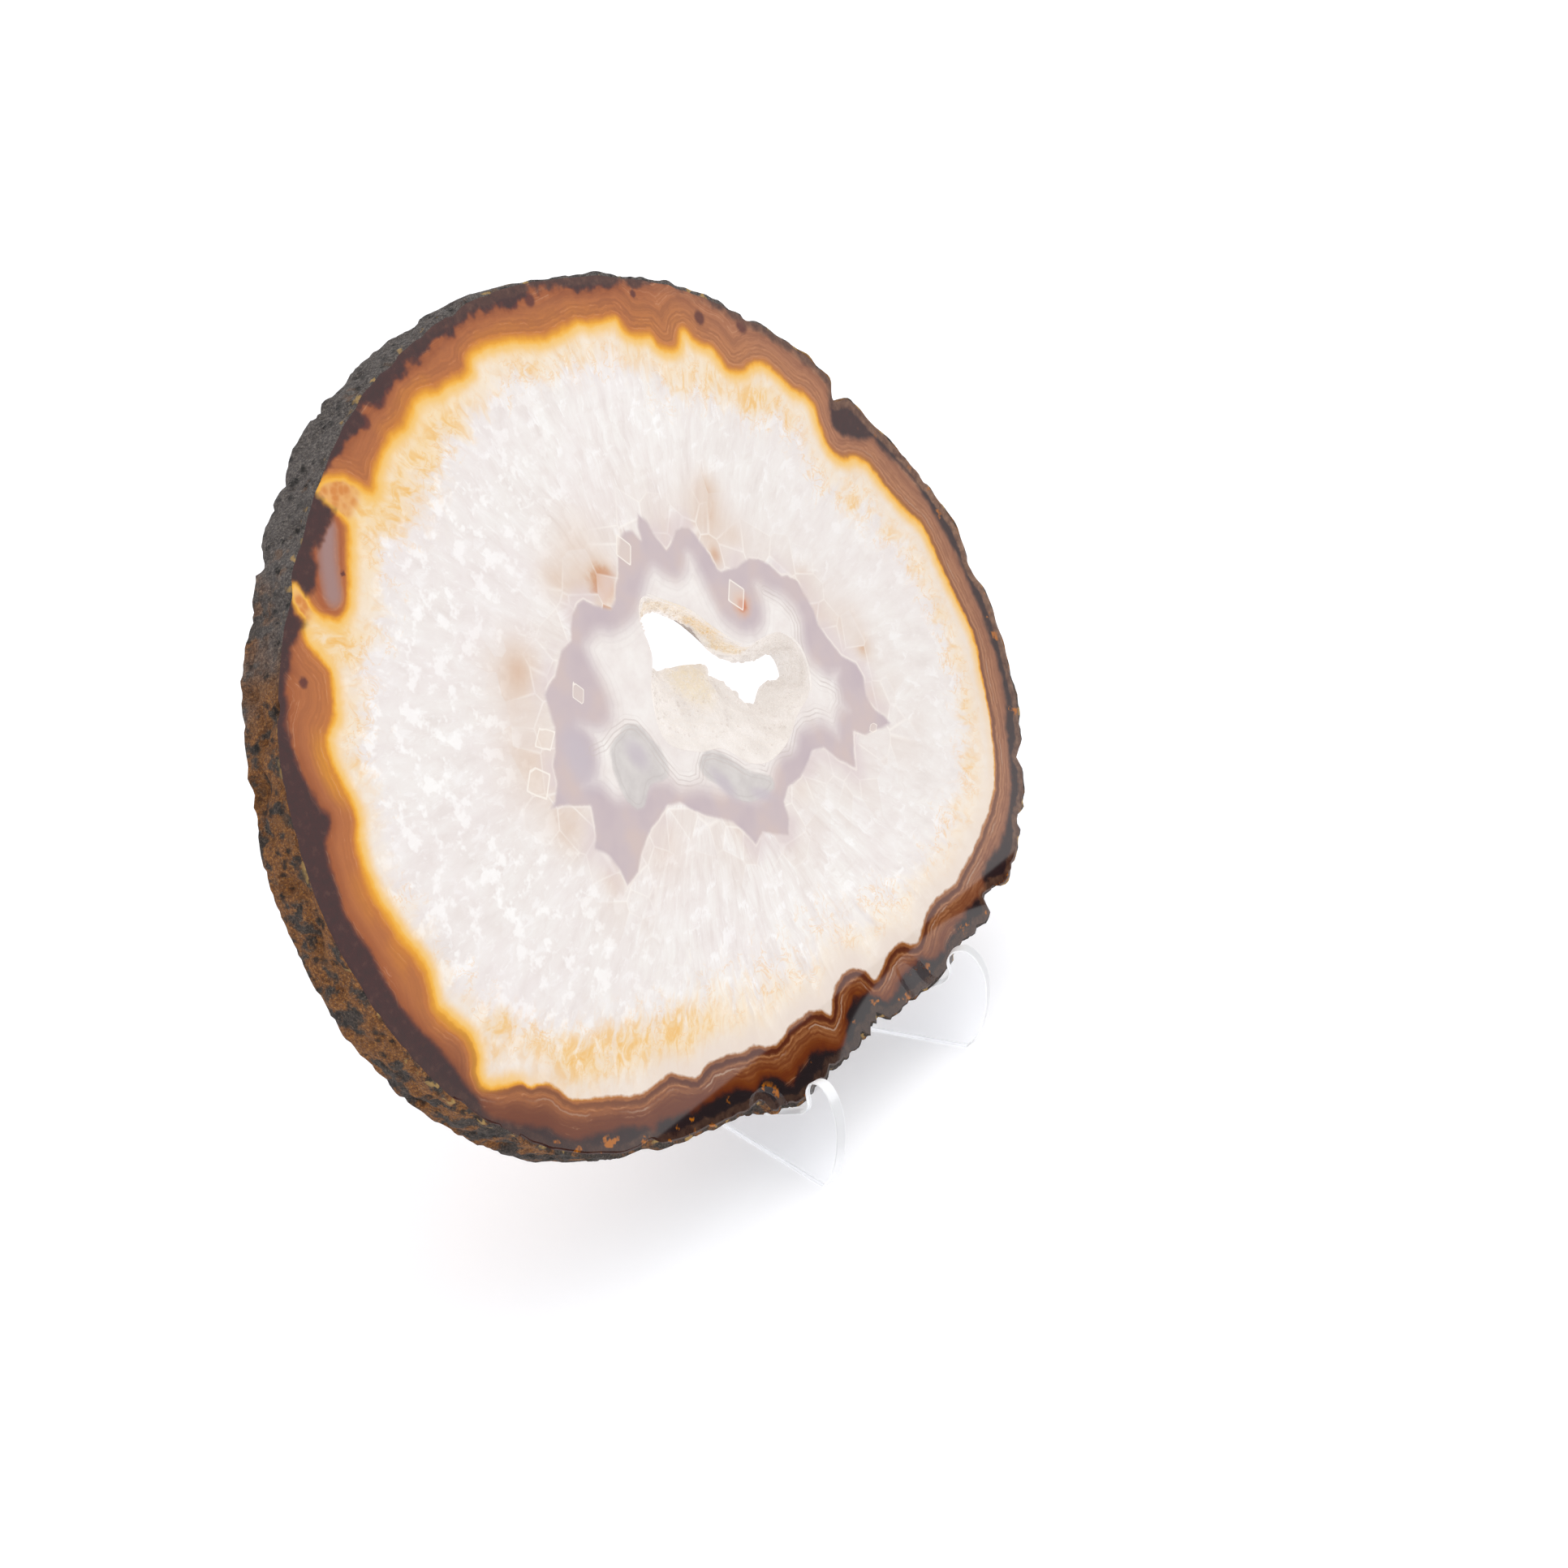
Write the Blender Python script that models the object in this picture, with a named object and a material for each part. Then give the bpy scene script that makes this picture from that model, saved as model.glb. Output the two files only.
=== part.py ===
# Agate slice resting on a clear bent-sheet display stand.
# Metres, +Z up, the polished face looks towards -Y and leans back.
# The origin is on the table, under the middle of the whole object.

import math
import random

import bmesh
import bpy
from mathutils import Matrix, Vector, noise

MM = 0.001

# Stone: one slab, cut square through the nodule, with a rough natural rim.
SLAB_THICKNESS = 9 * MM
LEAN = math.radians(27.6)
# Distance from the slab's middle to its rim, every 15 degrees from the right-hand side.
RIM_REACH = [91, 83.4, 79.8, 76.3, 74.7, 74.2, 75.7, 77.7, 81.3, 84, 87.7, 90.8,
             92, 90.4, 86.1, 79.2, 72.8, 72.4, 70.8, 73.6, 82, 93.4, 97, 95.7]
# Bites out of the rim: angle in degrees, depth, half-width in degrees.
RIM_NOTCHES = [(21.5, 3.0, 1.3), (146, 0.7, 2.0), (311, 3.2, 1.8), (229, 1.4, 2.2), (352, 1.2, 2.5),
               (248.5, 1.7, 5.5), (280.2, 1.8, 1.1)]
EDGE_FLARE = (161, 1.3, 15)  # where the polished edge stands out most: angle, how far in mm, spread
RIM_SEGMENTS = 240
RIM_LAYERS = [0, 0.5, 1.9, 3.6, 5.4, 7.1, 8.5, 9]
RIM_ROUGHNESS = 0.9 * MM
PIT_DEPTH = 1.6 * MM
# The rim is smoother where it sits in the stand, at these angles.
SEAT_ANGLES = (260.5, 294.0)
SEAT_SPREAD = 3.5

# Hollow: its mouth in the polished face and its throat in the back, matched point by point,
# from the slab's middle, in millimetres.
HOLLOW_MOUTH = [(35, -6), (32, -1), (26.5, 0.3), (21.5, 0.8), (18, 4), (15, 7.5), (12, 11.5),
                (7, 15.5), (2.5, 18.5), (-0.5, 15.5), (-1.2, 9.5), (-5.5, 3.5), (-7, -4), (-1, -9),
                (5.5, -11.5), (10, -16.2), (15, -18.4), (21.5, -17.8), (27, -15), (33, -12.5)]
HOLLOW_THROAT = [(38, -6.2), (34.5, -5.2), (29.5, -4), (25.9, -1.8), (23.1, 1), (21.8, 4.2), (20.8, 7),
                 (16.8, 10.4), (13, 13.2), (8.5, 13), (6.5, 8.5), (7.5, 4.6), (10.5, 3.7), (15.4, 2.4),
                 (19.3, 0.6), (20.6, -2.2), (24, -6.3), (27.3, -10.9), (31.8, -9), (37.5, -10)]
HOLLOW_SEGMENTS = 100
CRUST_THICKNESS = 0.9 * MM
CRYSTAL_ROWS = 7
CRYSTAL_HEIGHT = (0.25 * MM, 0.75 * MM)
CLEARANCE = 0.3 * MM

# Stand: one sheet folded twice, with a flat back panel and two wings that splay to the front.
SHEET = 2.2 * MM
PANEL_HALF_WIDTH = 12 * MM
PANEL_DISTANCE = 25 * MM
STAND_HEIGHT = 78.5 * MM
SPLAY = math.radians(14)
# Line where the plane of the polished face meets the table, in front of the stand's middle.
FACE_LINE = 27.8 * MM
# Foot, in the plane of a wing: distance forward of the stand's middle, and height.
TOE = (27.6, 0)
FOOT_FRONT = [(29.2, 2.1), (30.3, 5.4), (30.9, 9.2), (31.0, 12.6), (30.5, 16.0), (29.1, 19.0)]
FOOT_TOP = [(27.3, 20.6), (25.5, 20.7), (23.9, 19.6), (23.2, 17.6)]
GROOVE = [(23.6, 15.6), (23.4, 14.2), (22.4, 13.0)]
SEAT_BACK = (13.9, 8.4)

# Where the stand's middle and the slab's middle lie from the origin.
STAND_MIDDLE = Vector((9.0 * MM, -12.0 * MM, 0))
SLAB_SIDEWAYS = -10 * MM
SLAB_UP_SLOPE = 86 * MM


def clear_scene():
    for item in list(bpy.data.objects):
        bpy.data.objects.remove(item, do_unlink=True)


def new_collection(name):
    group = bpy.data.collections.new(name)
    bpy.context.scene.collection.children.link(group)
    return group


def new_material(name, colour, roughness, transmission=0.0):
    material = bpy.data.materials.new(name)
    material.use_nodes = True
    shader = material.node_tree.nodes["Principled BSDF"]
    shader.inputs["Base Color"].default_value = (*colour, 1)
    shader.inputs["Roughness"].default_value = roughness
    shader.inputs["Metallic"].default_value = 0
    shader.inputs["Transmission Weight"].default_value = transmission
    return material


def object_from(bm, name, group, material=None):
    bmesh.ops.recalc_face_normals(bm, faces=bm.faces)
    mesh = bpy.data.meshes.new(name)
    bm.to_mesh(mesh)
    bm.free()
    item = bpy.data.objects.new(name, mesh)
    group.objects.link(item)
    if material:
        mesh.materials.append(material)
    return item


def boolean(item, operation, other):
    cut = item.modifiers.new(other.name, "BOOLEAN")
    cut.operation = operation
    cut.solver = "EXACT"
    cut.object = other


def hide_as_cutter(item):
    item.hide_render = True
    item.display_type = "WIRE"


def through_points(points, position):
    # Smooth closed curve through the points, read at a position counted in points.
    count = len(points)
    start = math.floor(position)
    t = position - start
    before, here, after, beyond = [points[(start + k) % count] for k in (-1, 0, 1, 2)]
    return 0.5 * (2 * here + (after - before) * t
                  + (2 * before - 5 * here + 4 * after - beyond) * t * t
                  + (3 * here - before - 3 * after + beyond) * t ** 3)


def angle_between(a, b):
    return abs((a - b + 180) % 360 - 180)


def rim_reach(degrees):
    reach = through_points(RIM_REACH, degrees / 15) * MM
    for angle, depth, spread in RIM_NOTCHES:
        reach -= depth * MM * math.exp(-(angle_between(degrees, angle) / spread) ** 2)
    return reach


def rim_point(degrees, depth):
    # Lumps of two sizes and scattered pits, which fade at the seats and at the polished edge.
    angle = math.radians(degrees)
    direction = Vector((math.cos(angle), math.sin(angle), 0))
    point = direction * rim_reach(degrees)
    point.z = -depth
    lumps = noise.noise(point * 110) + 0.6 * noise.noise(point * 320)
    pits = max(0, noise.noise(point * 210 + Vector((7, 3, 1))) - 0.22)
    seat = min(angle_between(degrees, a) for a in SEAT_ANGLES)
    calm = 1 - 0.85 * math.exp(-(seat / SEAT_SPREAD) ** 2)
    edge = 0.45 if depth == 0 else 1
    rounding = 0.5 * MM if depth in (0, SLAB_THICKNESS) else 0
    if depth == 0:
        angle_of_flare, reach, spread = EDGE_FLARE
        rounding -= reach * MM * math.exp(-(angle_between(degrees, angle_of_flare) / spread) ** 2)
    swell = calm * edge * (RIM_ROUGHNESS * lumps - PIT_DEPTH * 2 * pits) - rounding
    return point + direction * swell


def stack_rings(rings):
    # A closed solid through a pile of rings that all have the same number of points.
    bm = bmesh.new()
    bmesh.ops.create_circle(bm, segments=len(rings[0]), radius=1)
    bm.verts.ensure_lookup_table()
    for vert, place in zip(bm.verts, rings[0]):
        vert.co = place
    bmesh.ops.contextual_create(bm, geom=bm.edges[:])
    edges = bm.edges[:]
    for ring in rings[1:]:
        grown = bmesh.ops.extrude_edge_only(bm, edges=edges)["geom"]
        verts = [part for part in grown if isinstance(part, bmesh.types.BMVert)]
        edges = [part for part in grown if isinstance(part, bmesh.types.BMEdge)]
        for vert, place in zip(verts, ring):
            vert.co = place
    bmesh.ops.contextual_create(bm, geom=edges)
    return bm


def make_slab(group, material):
    rings = []
    for depth in RIM_LAYERS:
        rings.append([rim_point(360 * k / RIM_SEGMENTS, depth * MM) for k in range(RIM_SEGMENTS)])
    return object_from(stack_rings(rings), "agate_slice", group, material)


def hollow_ring(depth, offset):
    # Outline of the hollow at a depth below the face, grown outwards by an offset that is
    # measured square to its sloping wall.
    mouth = [Vector(p) * MM for p in HOLLOW_MOUTH]
    throat = [Vector(p) * MM for p in HOLLOW_THROAT]
    share = depth / SLAB_THICKNESS
    middle = []
    growth = []
    for k in range(HOLLOW_SEGMENTS):
        position = k * len(mouth) / HOLLOW_SEGMENTS
        top = through_points(mouth, position)
        bottom = through_points(throat, position)
        middle.append(top.lerp(bottom, share))
        slope = (top - bottom).length / SLAB_THICKNESS
        growth.append(offset * math.sqrt(1 + min(slope, 1.6) ** 2))
    ring = []
    for k, place in enumerate(middle):
        along = middle[(k + 1) % HOLLOW_SEGMENTS] - middle[k - 1]
        outwards = Vector((along.y, -along.x)).normalized()
        grown = place + outwards * growth[k]
        ring.append(Vector((grown.x, grown.y, -depth)))
    return ring


def make_hollow_cutter(group):
    offset = CRUST_THICKNESS + CLEARANCE
    rings = []
    for depth in (-1.5, 0, 3, 6, 9, 10.5):
        rings.append(hollow_ring(depth * MM, offset))
    cutter = object_from(stack_rings(rings), "hollow_cutter", group)
    hide_as_cutter(cutter)
    return cutter


def make_crust(group, material):
    # Lining of small quartz points: an outer wall against the stone, and an inner wall of
    # facets that are each raised to a point.
    front = 0.4 * MM
    back = SLAB_THICKNESS - 0.4 * MM
    outer_depths = [front, front + (back - front) / 2, back]
    inner_depths = [back + (front - back) * k / CRYSTAL_ROWS for k in range(CRYSTAL_ROWS + 1)]
    rings = [hollow_ring(depth, CRUST_THICKNESS) for depth in outer_depths]
    rings += [hollow_ring(depth, 0) for depth in inner_depths]
    bm = bmesh.new()
    loops = [[bm.verts.new(place) for place in ring] for ring in rings]
    inner_faces = []
    for row, loop in enumerate(loops):
        below = loops[(row + 1) % len(loops)]
        for k in range(HOLLOW_SEGMENTS):
            after = (k + 1) % HOLLOW_SEGMENTS
            face = bm.faces.new((loop[k], loop[after], below[after], below[k]))
            if len(outer_depths) <= row < len(loops) - 1:
                inner_faces.append(face)
    bmesh.ops.recalc_face_normals(bm, faces=bm.faces)
    chance = random.Random(4)
    for face in inner_faces:
        height = chance.uniform(*CRYSTAL_HEIGHT)
        bmesh.ops.poke(bm, faces=[face], offset=height)
    return object_from(bm, "quartz_crust", group, material)


def back_line(height):
    # How far forward, in a wing's plane, its supporting edge is at a height.
    behind = SLAB_THICKNESS + CLEARANCE + SHEET / 2 * math.sin(SPLAY)
    reach = FACE_LINE - (behind + height * math.sin(LEAN)) / math.cos(LEAN)
    return reach / math.cos(SPLAY)


def fold_back():
    return -PANEL_DISTANCE / math.cos(SPLAY)


def wing_outline():
    points = [Vector(TOE) * MM]
    for p in FOOT_FRONT + FOOT_TOP + GROOVE + [SEAT_BACK]:
        points.append(Vector(p) * MM)
    low = SEAT_BACK[1] * MM + 0.3 * MM
    points.append(Vector((back_line(low), low)))
    points.append(Vector((back_line(STAND_HEIGHT), STAND_HEIGHT)))
    points.append(Vector((fold_back(), STAND_HEIGHT)))
    points.append(Vector((fold_back(), 0)))
    return points


def sheet_from(outline, name, group):
    # A flat curve, given half the sheet's thickness each way, and then made a mesh.
    curve = bpy.data.curves.new(name, "CURVE")
    curve.dimensions = "2D"
    curve.fill_mode = "BOTH"
    curve.extrude = SHEET / 2
    line = curve.splines.new("POLY")
    line.points.add(len(outline) - 1)
    for point, place in zip(line.points, outline):
        point.co = (place.x, place.y, 0, 1)
    line.use_cyclic_u = True
    drawn = bpy.data.objects.new(name + "_outline", curve)
    group.objects.link(drawn)
    ready = drawn.evaluated_get(bpy.context.evaluated_depsgraph_get())
    mesh = bpy.data.meshes.new_from_object(ready)
    bpy.data.objects.remove(drawn, do_unlink=True)
    bm = bmesh.new()
    bm.from_mesh(mesh)
    bmesh.ops.remove_doubles(bm, verts=bm.verts, dist=0.01 * MM)
    bpy.data.meshes.remove(mesh)
    return object_from(bm, name, group)


def make_stand(group, cutters, material):
    # The wing's drawing plane has x forward and y up. It is turned about Z to its splay.
    wings = []
    for side, name in ((-1, "left_wing"), (1, "right_wing")):
        wing = sheet_from(wing_outline(), name, cutters)
        forward = Vector((side * math.sin(SPLAY), -math.cos(SPLAY), 0))
        up = Vector((0, 0, 1))
        turn = Matrix((forward, up, forward.cross(up))).transposed().to_4x4()
        middle = PANEL_HALF_WIDTH + PANEL_DISTANCE * math.tan(SPLAY)
        turn.translation = STAND_MIDDLE + Vector((side * middle, 0, 0))
        wing.matrix_world = turn
        hide_as_cutter(wing)
        wings.append(wing)
    bpy.ops.mesh.primitive_cube_add(size=1)
    stand = bpy.context.object
    stand.name = "display_stand"
    stand.data.name = "display_stand"
    stand.data.materials.append(material)
    size = (2 * PANEL_HALF_WIDTH, SHEET, STAND_HEIGHT)
    stand.data.transform(Matrix.Diagonal((*size, 1)))
    stand.location = STAND_MIDDLE + Vector((0, PANEL_DISTANCE, STAND_HEIGHT / 2))
    for owner in list(stand.users_collection):
        owner.objects.unlink(stand)
    group.objects.link(stand)
    for side in (-1, 1):
        bend_place = STAND_MIDDLE + Vector((side * PANEL_HALF_WIDTH, PANEL_DISTANCE, STAND_HEIGHT / 2))
        bm = bmesh.new()
        bmesh.ops.create_cone(bm, cap_ends=True, segments=24, radius1=SHEET / 2,
                              radius2=SHEET / 2, depth=STAND_HEIGHT)
        bend = object_from(bm, "bend_left" if side < 0 else "bend_right", cutters)
        bend.location = bend_place
        hide_as_cutter(bend)
        boolean(stand, "UNION", bend)
    for wing in wings:
        boolean(stand, "UNION", wing)
    return stand


def main():
    clear_scene()
    group = new_collection("agate slice on stand")
    cutters = new_collection("cutters")
    stone = new_material("banded agate", (0.62, 0.42, 0.27), 0.15)
    quartz = new_material("sugary quartz", (0.86, 0.80, 0.74), 0.35)
    acrylic = new_material("clear acrylic", (0.97, 0.98, 1.0), 0.02, 1.0)

    slope_up = Vector((0, math.sin(LEAN), math.cos(LEAN)))
    middle = STAND_MIDDLE + Vector((SLAB_SIDEWAYS, -FACE_LINE, 0)) + slope_up * SLAB_UP_SLOPE
    place = Matrix.Translation(middle) @ Matrix.Rotation(math.radians(90) - LEAN, 4, "X")
    slab = make_slab(group, stone)
    hollow = make_hollow_cutter(cutters)
    crust = make_crust(group, quartz)
    for item in (slab, hollow, crust):
        item.matrix_world = place
    boolean(slab, "DIFFERENCE", hollow)
    make_stand(group, cutters, acrylic)


main()
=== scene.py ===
import math
import random

import bmesh
import bpy
import numpy as np
from mathutils import Matrix, Vector, noise


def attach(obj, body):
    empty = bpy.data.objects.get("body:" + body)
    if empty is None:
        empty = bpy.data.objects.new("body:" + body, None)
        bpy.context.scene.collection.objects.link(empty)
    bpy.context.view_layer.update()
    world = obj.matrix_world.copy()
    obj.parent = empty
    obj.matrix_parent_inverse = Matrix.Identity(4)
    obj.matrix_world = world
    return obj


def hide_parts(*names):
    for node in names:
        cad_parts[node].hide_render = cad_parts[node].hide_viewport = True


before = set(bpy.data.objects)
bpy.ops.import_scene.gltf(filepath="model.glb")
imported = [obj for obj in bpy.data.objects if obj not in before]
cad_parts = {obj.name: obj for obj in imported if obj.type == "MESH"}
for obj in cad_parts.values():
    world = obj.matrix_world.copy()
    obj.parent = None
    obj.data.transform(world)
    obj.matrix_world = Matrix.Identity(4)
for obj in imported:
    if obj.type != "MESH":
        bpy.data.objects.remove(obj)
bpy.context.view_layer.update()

mm = 0.001

# Where the slice stands, in millimetres: x along its face, y up its slope, z out of its face.
slicePlan = {
    "middle": (-1.0, 0.0435, 76.213),
    "leanDegrees": 27.6,
    "thickness": 9.0,
    "rimReach": [91, 83.4, 79.8, 76.3, 74.7, 74.2, 75.7, 77.7, 81.3, 84, 87.7, 90.8, 92, 90.4, 86.1, 79.2,
        72.8, 72.4, 70.8, 73.6, 82, 93.4, 97, 95.7],
    "rimNotches": [(21.5, 3.0, 1.3), (146, 0.7, 2.0), (311, 3.2, 1.8), (229, 1.4, 2.2), (352, 1.2, 2.5),
        (248.5, 1.7, 5.5), (280.2, 1.8, 1.1)],
    "edgeFlare": (161, 1.3, 15),
    "rimRoughness": 0.9,
    "lumpScales": (110, 320),
    "pitDepth": 3.2,
    "pitScale": 210,
    "gritDepth": 0.8,
    "gritScale": 780,
    "raggedDepth": 4.2,
    "raggedAngles": (236, 342),
    "chipScales": (230, 520),
    "seatAngles": (260.5, 294.0),
    "seatSpread": 3.5,
    "pointsAround": 640,
    "rimDepths": [0, 0.12, 0.5, 1.0, 1.5, 2.0, 2.5, 3.0, 3.5, 4.0, 4.5, 5.0, 5.5, 6.0, 6.5, 7.0, 7.5, 8.0,
        8.5, 8.85, 9.0],
    "faceCuts": (38, 22, 44),
    "faceZones": (0.30, 0.70),
    "backCuts": (5, 12),
    "hollowGap": 0.5,
    "lipDepth": 0.35,
    "haloWidth": 4,
    "sharpDegrees": 32,
    "hollowZone": 60,
}
hollowPlan = {
    "middle": (11.0, -4.0),
    "raySteps": 400,
    "mouth": [(35, -6), (32, -1), (26.5, 0.3), (21.5, 0.8), (18, 4), (15, 7.5), (12, 11.5), (7, 15.5),
        (2.5, 18.5), (-0.5, 15.5), (-1.2, 9.5), (-5.5, 3.5), (-7, -4), (-1, -9), (5.5, -11.5), (10, -16.2),
        (15, -18.4), (21.5, -17.8), (27, -15), (33, -12.5)],
    "throat": [(38, -6.2), (34.5, -5.2), (29.5, -4), (25.9, -1.8), (23.1, 1), (21.8, 4.2), (20.8, 7),
        (16.8, 10.4), (13, 13.2), (8.5, 13), (6.5, 8.5), (7.5, 4.6), (10.5, 3.7), (15.4, 2.4), (19.3, 0.6),
        (20.6, -2.2), (24, -6.3), (27.3, -10.9), (31.8, -9), (37.5, -10)],
}
mouthLine = [Vector(p) for p in hollowPlan["mouth"]]
throatLine = [Vector(p) for p in hollowPlan["throat"]]

lean = math.radians(slicePlan["leanDegrees"])
slicePlace = (Matrix.Translation(Vector(slicePlan["middle"]) * mm) @ Matrix.Rotation(math.radians(90) - lean,
                                                                                     4, "X"))


def splinePoint(before, here, after, beyond, t):
    return 0.5 * (2 * here + (after - before) * t + (2 * before - 5 * here + 4 * after - beyond) * t * t
                  + (3 * here - before - 3 * after + beyond) * t ** 3)


def throughPoints(points, position):
    # A place on the closed curve through the points, which are one step apart.
    start = math.floor(position)
    near = [points[(start + k) % len(points)] for k in (-1, 0, 1, 2)]
    return splinePoint(*near, position - start)


def angleBetween(a, b):
    return abs((a - b + 180) % 360 - 180)


def rimReach(degrees):
    reach = throughPoints(slicePlan["rimReach"], degrees / 15)
    for angle, depth, spread in slicePlan["rimNotches"]:
        reach -= depth * math.exp(-(angleBetween(degrees, angle) / spread) ** 2)
    return reach


def rimPoint(degrees, depth):
    # The natural rind: lumps of two sizes and pits, calmer at the seats and at the polished edge.
    angle = math.radians(degrees)
    direction = Vector((math.cos(angle), math.sin(angle), 0))
    point = direction * rimReach(degrees) * mm
    point.z = -depth * mm
    broad, small = slicePlan["lumpScales"]
    lumps = noise.noise(point * broad) + 0.6 * noise.noise(point * small)
    pits = max(0, noise.noise(point * slicePlan["pitScale"] + Vector((7, 3, 1))) - 0.22)
    seat = min(angleBetween(degrees, a) for a in slicePlan["seatAngles"])
    calm = 1 - 0.85 * math.exp(-(seat / slicePlan["seatSpread"]) ** 2)
    edge = 0.45 if depth == 0 else 1
    rounding = 0.5 if depth in (0, slicePlan["thickness"]) else 0
    if depth == 0:
        middle, flare, spread = slicePlan["edgeFlare"]
        rounding -= flare * math.exp(-(angleBetween(degrees, middle) / spread) ** 2)
    swell = calm * edge * (slicePlan["rimRoughness"] * lumps - slicePlan["pitDepth"] * pits) - rounding
    # The saw broke more chips out of the low edge.
    low, high = slicePlan["raggedAngles"]
    ragged = min(1, max(0, (degrees - low) / 12)) * min(1, max(0, (high - degrees) / 12))
    broad, small = slicePlan["chipScales"]
    chips = max(0, noise.noise(point * broad + Vector((3, 9, 4))) - 0.02)
    chips += 0.5 * max(0, noise.noise(point * small))
    grit = max(0, noise.noise(point * slicePlan["gritScale"] + Vector((5, 2, 8)))) * min(1, depth * 2)
    swell -= calm * (ragged * slicePlan["raggedDepth"] * chips * 0.7 + slicePlan["gritDepth"] * grit + 0.3)
    return point + direction * swell * mm


def rimRing(depth):
    count = slicePlan["pointsAround"]
    return [rimPoint(360 * k / count, depth) for k in range(count)]


def deselectAll():
    if bpy.context.object and bpy.context.object.mode != "OBJECT":
        bpy.ops.object.mode_set(mode="OBJECT")
    bpy.ops.object.select_all(action="DESELECT")


def useOnly(piece):
    deselectAll()
    piece.select_set(True)
    bpy.context.view_layer.objects.active = piece


def applyModifiers(piece):
    useOnly(piece)
    for modifier in list(piece.modifiers):
        bpy.ops.object.modifier_apply(modifier=modifier.name)


def firstRing(name, places):
    # An open circle whose points then go to their places.
    deselectAll()
    bpy.ops.mesh.primitive_circle_add(vertices=len(places), radius=0.05, fill_type="NOTHING")
    piece = bpy.context.object
    piece.name = name
    piece.data.name = name
    for vert, place in zip(piece.data.vertices, places):
        vert.co = place
    return piece


def extrudeRing(piece, places):
    bpy.ops.mesh.extrude_edges_move()
    mesh = bmesh.from_edit_mesh(piece.data)
    mesh.verts.ensure_lookup_table()
    for k, place in enumerate(places):
        mesh.verts[len(mesh.verts) - len(places) + k].co = place
    bmesh.update_edit_mesh(piece.data)


def stackRings(name, rings, cuts):
    # Rings are extruded one from the other, then the gaps marked in cuts are subdivided.
    piece = firstRing(name, rings[0])
    bpy.ops.object.mode_set(mode="EDIT")
    bpy.ops.mesh.select_mode(type="EDGE")
    bpy.ops.mesh.select_all(action="SELECT")
    for ring in rings[1:]:
        extrudeRing(piece, ring)
    count = len(rings[0])
    for gap, number in sorted(cuts.items()):
        bpy.ops.mesh.select_all(action="DESELECT")
        mesh = bmesh.from_edit_mesh(piece.data)
        mesh.verts.ensure_lookup_table()
        for k in range(count):
            lower = mesh.verts[gap * count + k]
            upper = mesh.verts[(gap + 1) * count + k]
            for edge in lower.link_edges:
                if edge.other_vert(lower) == upper:
                    edge.select = True
        bmesh.update_edit_mesh(piece.data)
        bpy.ops.mesh.subdivide_edgering(number_cuts=number, interpolation="LINEAR", smoothness=0)
    bpy.ops.mesh.select_all(action="SELECT")
    return piece


def mouthAt(direction):
    # Where a ray from the hollow's middle meets its mouth, and how far along the mouth that is.
    middle = Vector(hollowPlan["middle"])
    across = Vector((-direction.y, direction.x))
    step = len(mouthLine) / hollowPlan["raySteps"]
    for k in range(hollowPlan["raySteps"]):
        position = k * len(mouthLine) / hollowPlan["raySteps"]
        here = throughPoints(mouthLine, position) - middle
        there = throughPoints(mouthLine, position + step) - middle
        a = here.dot(across)
        b = there.dot(across)
        if a <= 0 < b and here.dot(direction) > 0:
            share = -a / (b - a)
            reach = here.lerp(there, share).dot(direction)
            meeting = position + share * len(mouthLine) / hollowPlan["raySteps"]
    return middle + direction * reach, meeting


def makeSlice():
    thickest = slicePlan["thickness"]
    outline = rimRing(0)
    gap = slicePlan["hollowGap"]
    mouthRing = []
    lipRing = []
    haloRing = []
    throatRing = []
    for place in outline:
        direction = (place.xy / mm - Vector(hollowPlan["middle"])).normalized()
        mouthPlace, position = mouthAt(direction)
        throatPlace = throughPoints(throatLine, position)
        throatPlace += (mouthPlace - throatPlace).normalized() * gap
        mouthRing.append(Vector((*mouthPlace * mm, 0)))
        lipRing.append(Vector((*(mouthPlace + direction * gap) * mm, -slicePlan["lipDepth"] * mm)))
        haloRing.append(Vector((*(mouthPlace + direction * slicePlan["haloWidth"]) * mm, -thickest * mm)))
        throatRing.append(Vector((*throatPlace * mm, -thickest * mm)))
    zones = [[a.lerp(b, share) for a, b in zip(mouthRing, outline)] for share in slicePlan["faceZones"]]
    rim = [rimRing(depth) for depth in slicePlan["rimDepths"]]
    rings = [throatRing, lipRing, mouthRing, *zones, *rim, haloRing, throatRing]
    last = len(rings) - 1
    inner, between, outer = slicePlan["faceCuts"]
    nearCuts, farCuts = slicePlan["backCuts"]
    cuts = {0: 4, 2: inner, 3: between, 4: outer, last - 2: farCuts, last - 1: nearCuts}
    piece = stackRings("agateSlice", rings, cuts)
    bpy.ops.mesh.remove_doubles(threshold=0.01 * mm)
    bpy.ops.mesh.normals_make_consistent(inside=False)
    bpy.ops.object.mode_set(mode="OBJECT")
    markSlice(piece)
    useOnly(piece)
    bpy.ops.object.shade_smooth_by_angle(angle=math.radians(slicePlan["sharpDegrees"]))
    pattern = makeAgatePattern()
    materials = [makeCutMaterial("polishedAgate", 0.015, pattern), makeRindMaterial()]
    materials += [makeCutMaterial("sawnAgate", 0.45, pattern), druseMaterial]
    for material in materials:
        piece.data.materials.append(material)
    # The face is the first material, then rind, back and the hollow's wall.
    for face in piece.data.polygons:
        depth = -face.center.z / mm
        inHollow = face.center.xy.length <= slicePlan["hollowZone"] * mm
        if depth > thickest - 0.01:
            face.material_index = 2
        elif depth > 0.05:
            face.material_index = 3 if inHollow else 1
    piece.data.transform(slicePlace)
    return piece


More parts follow.
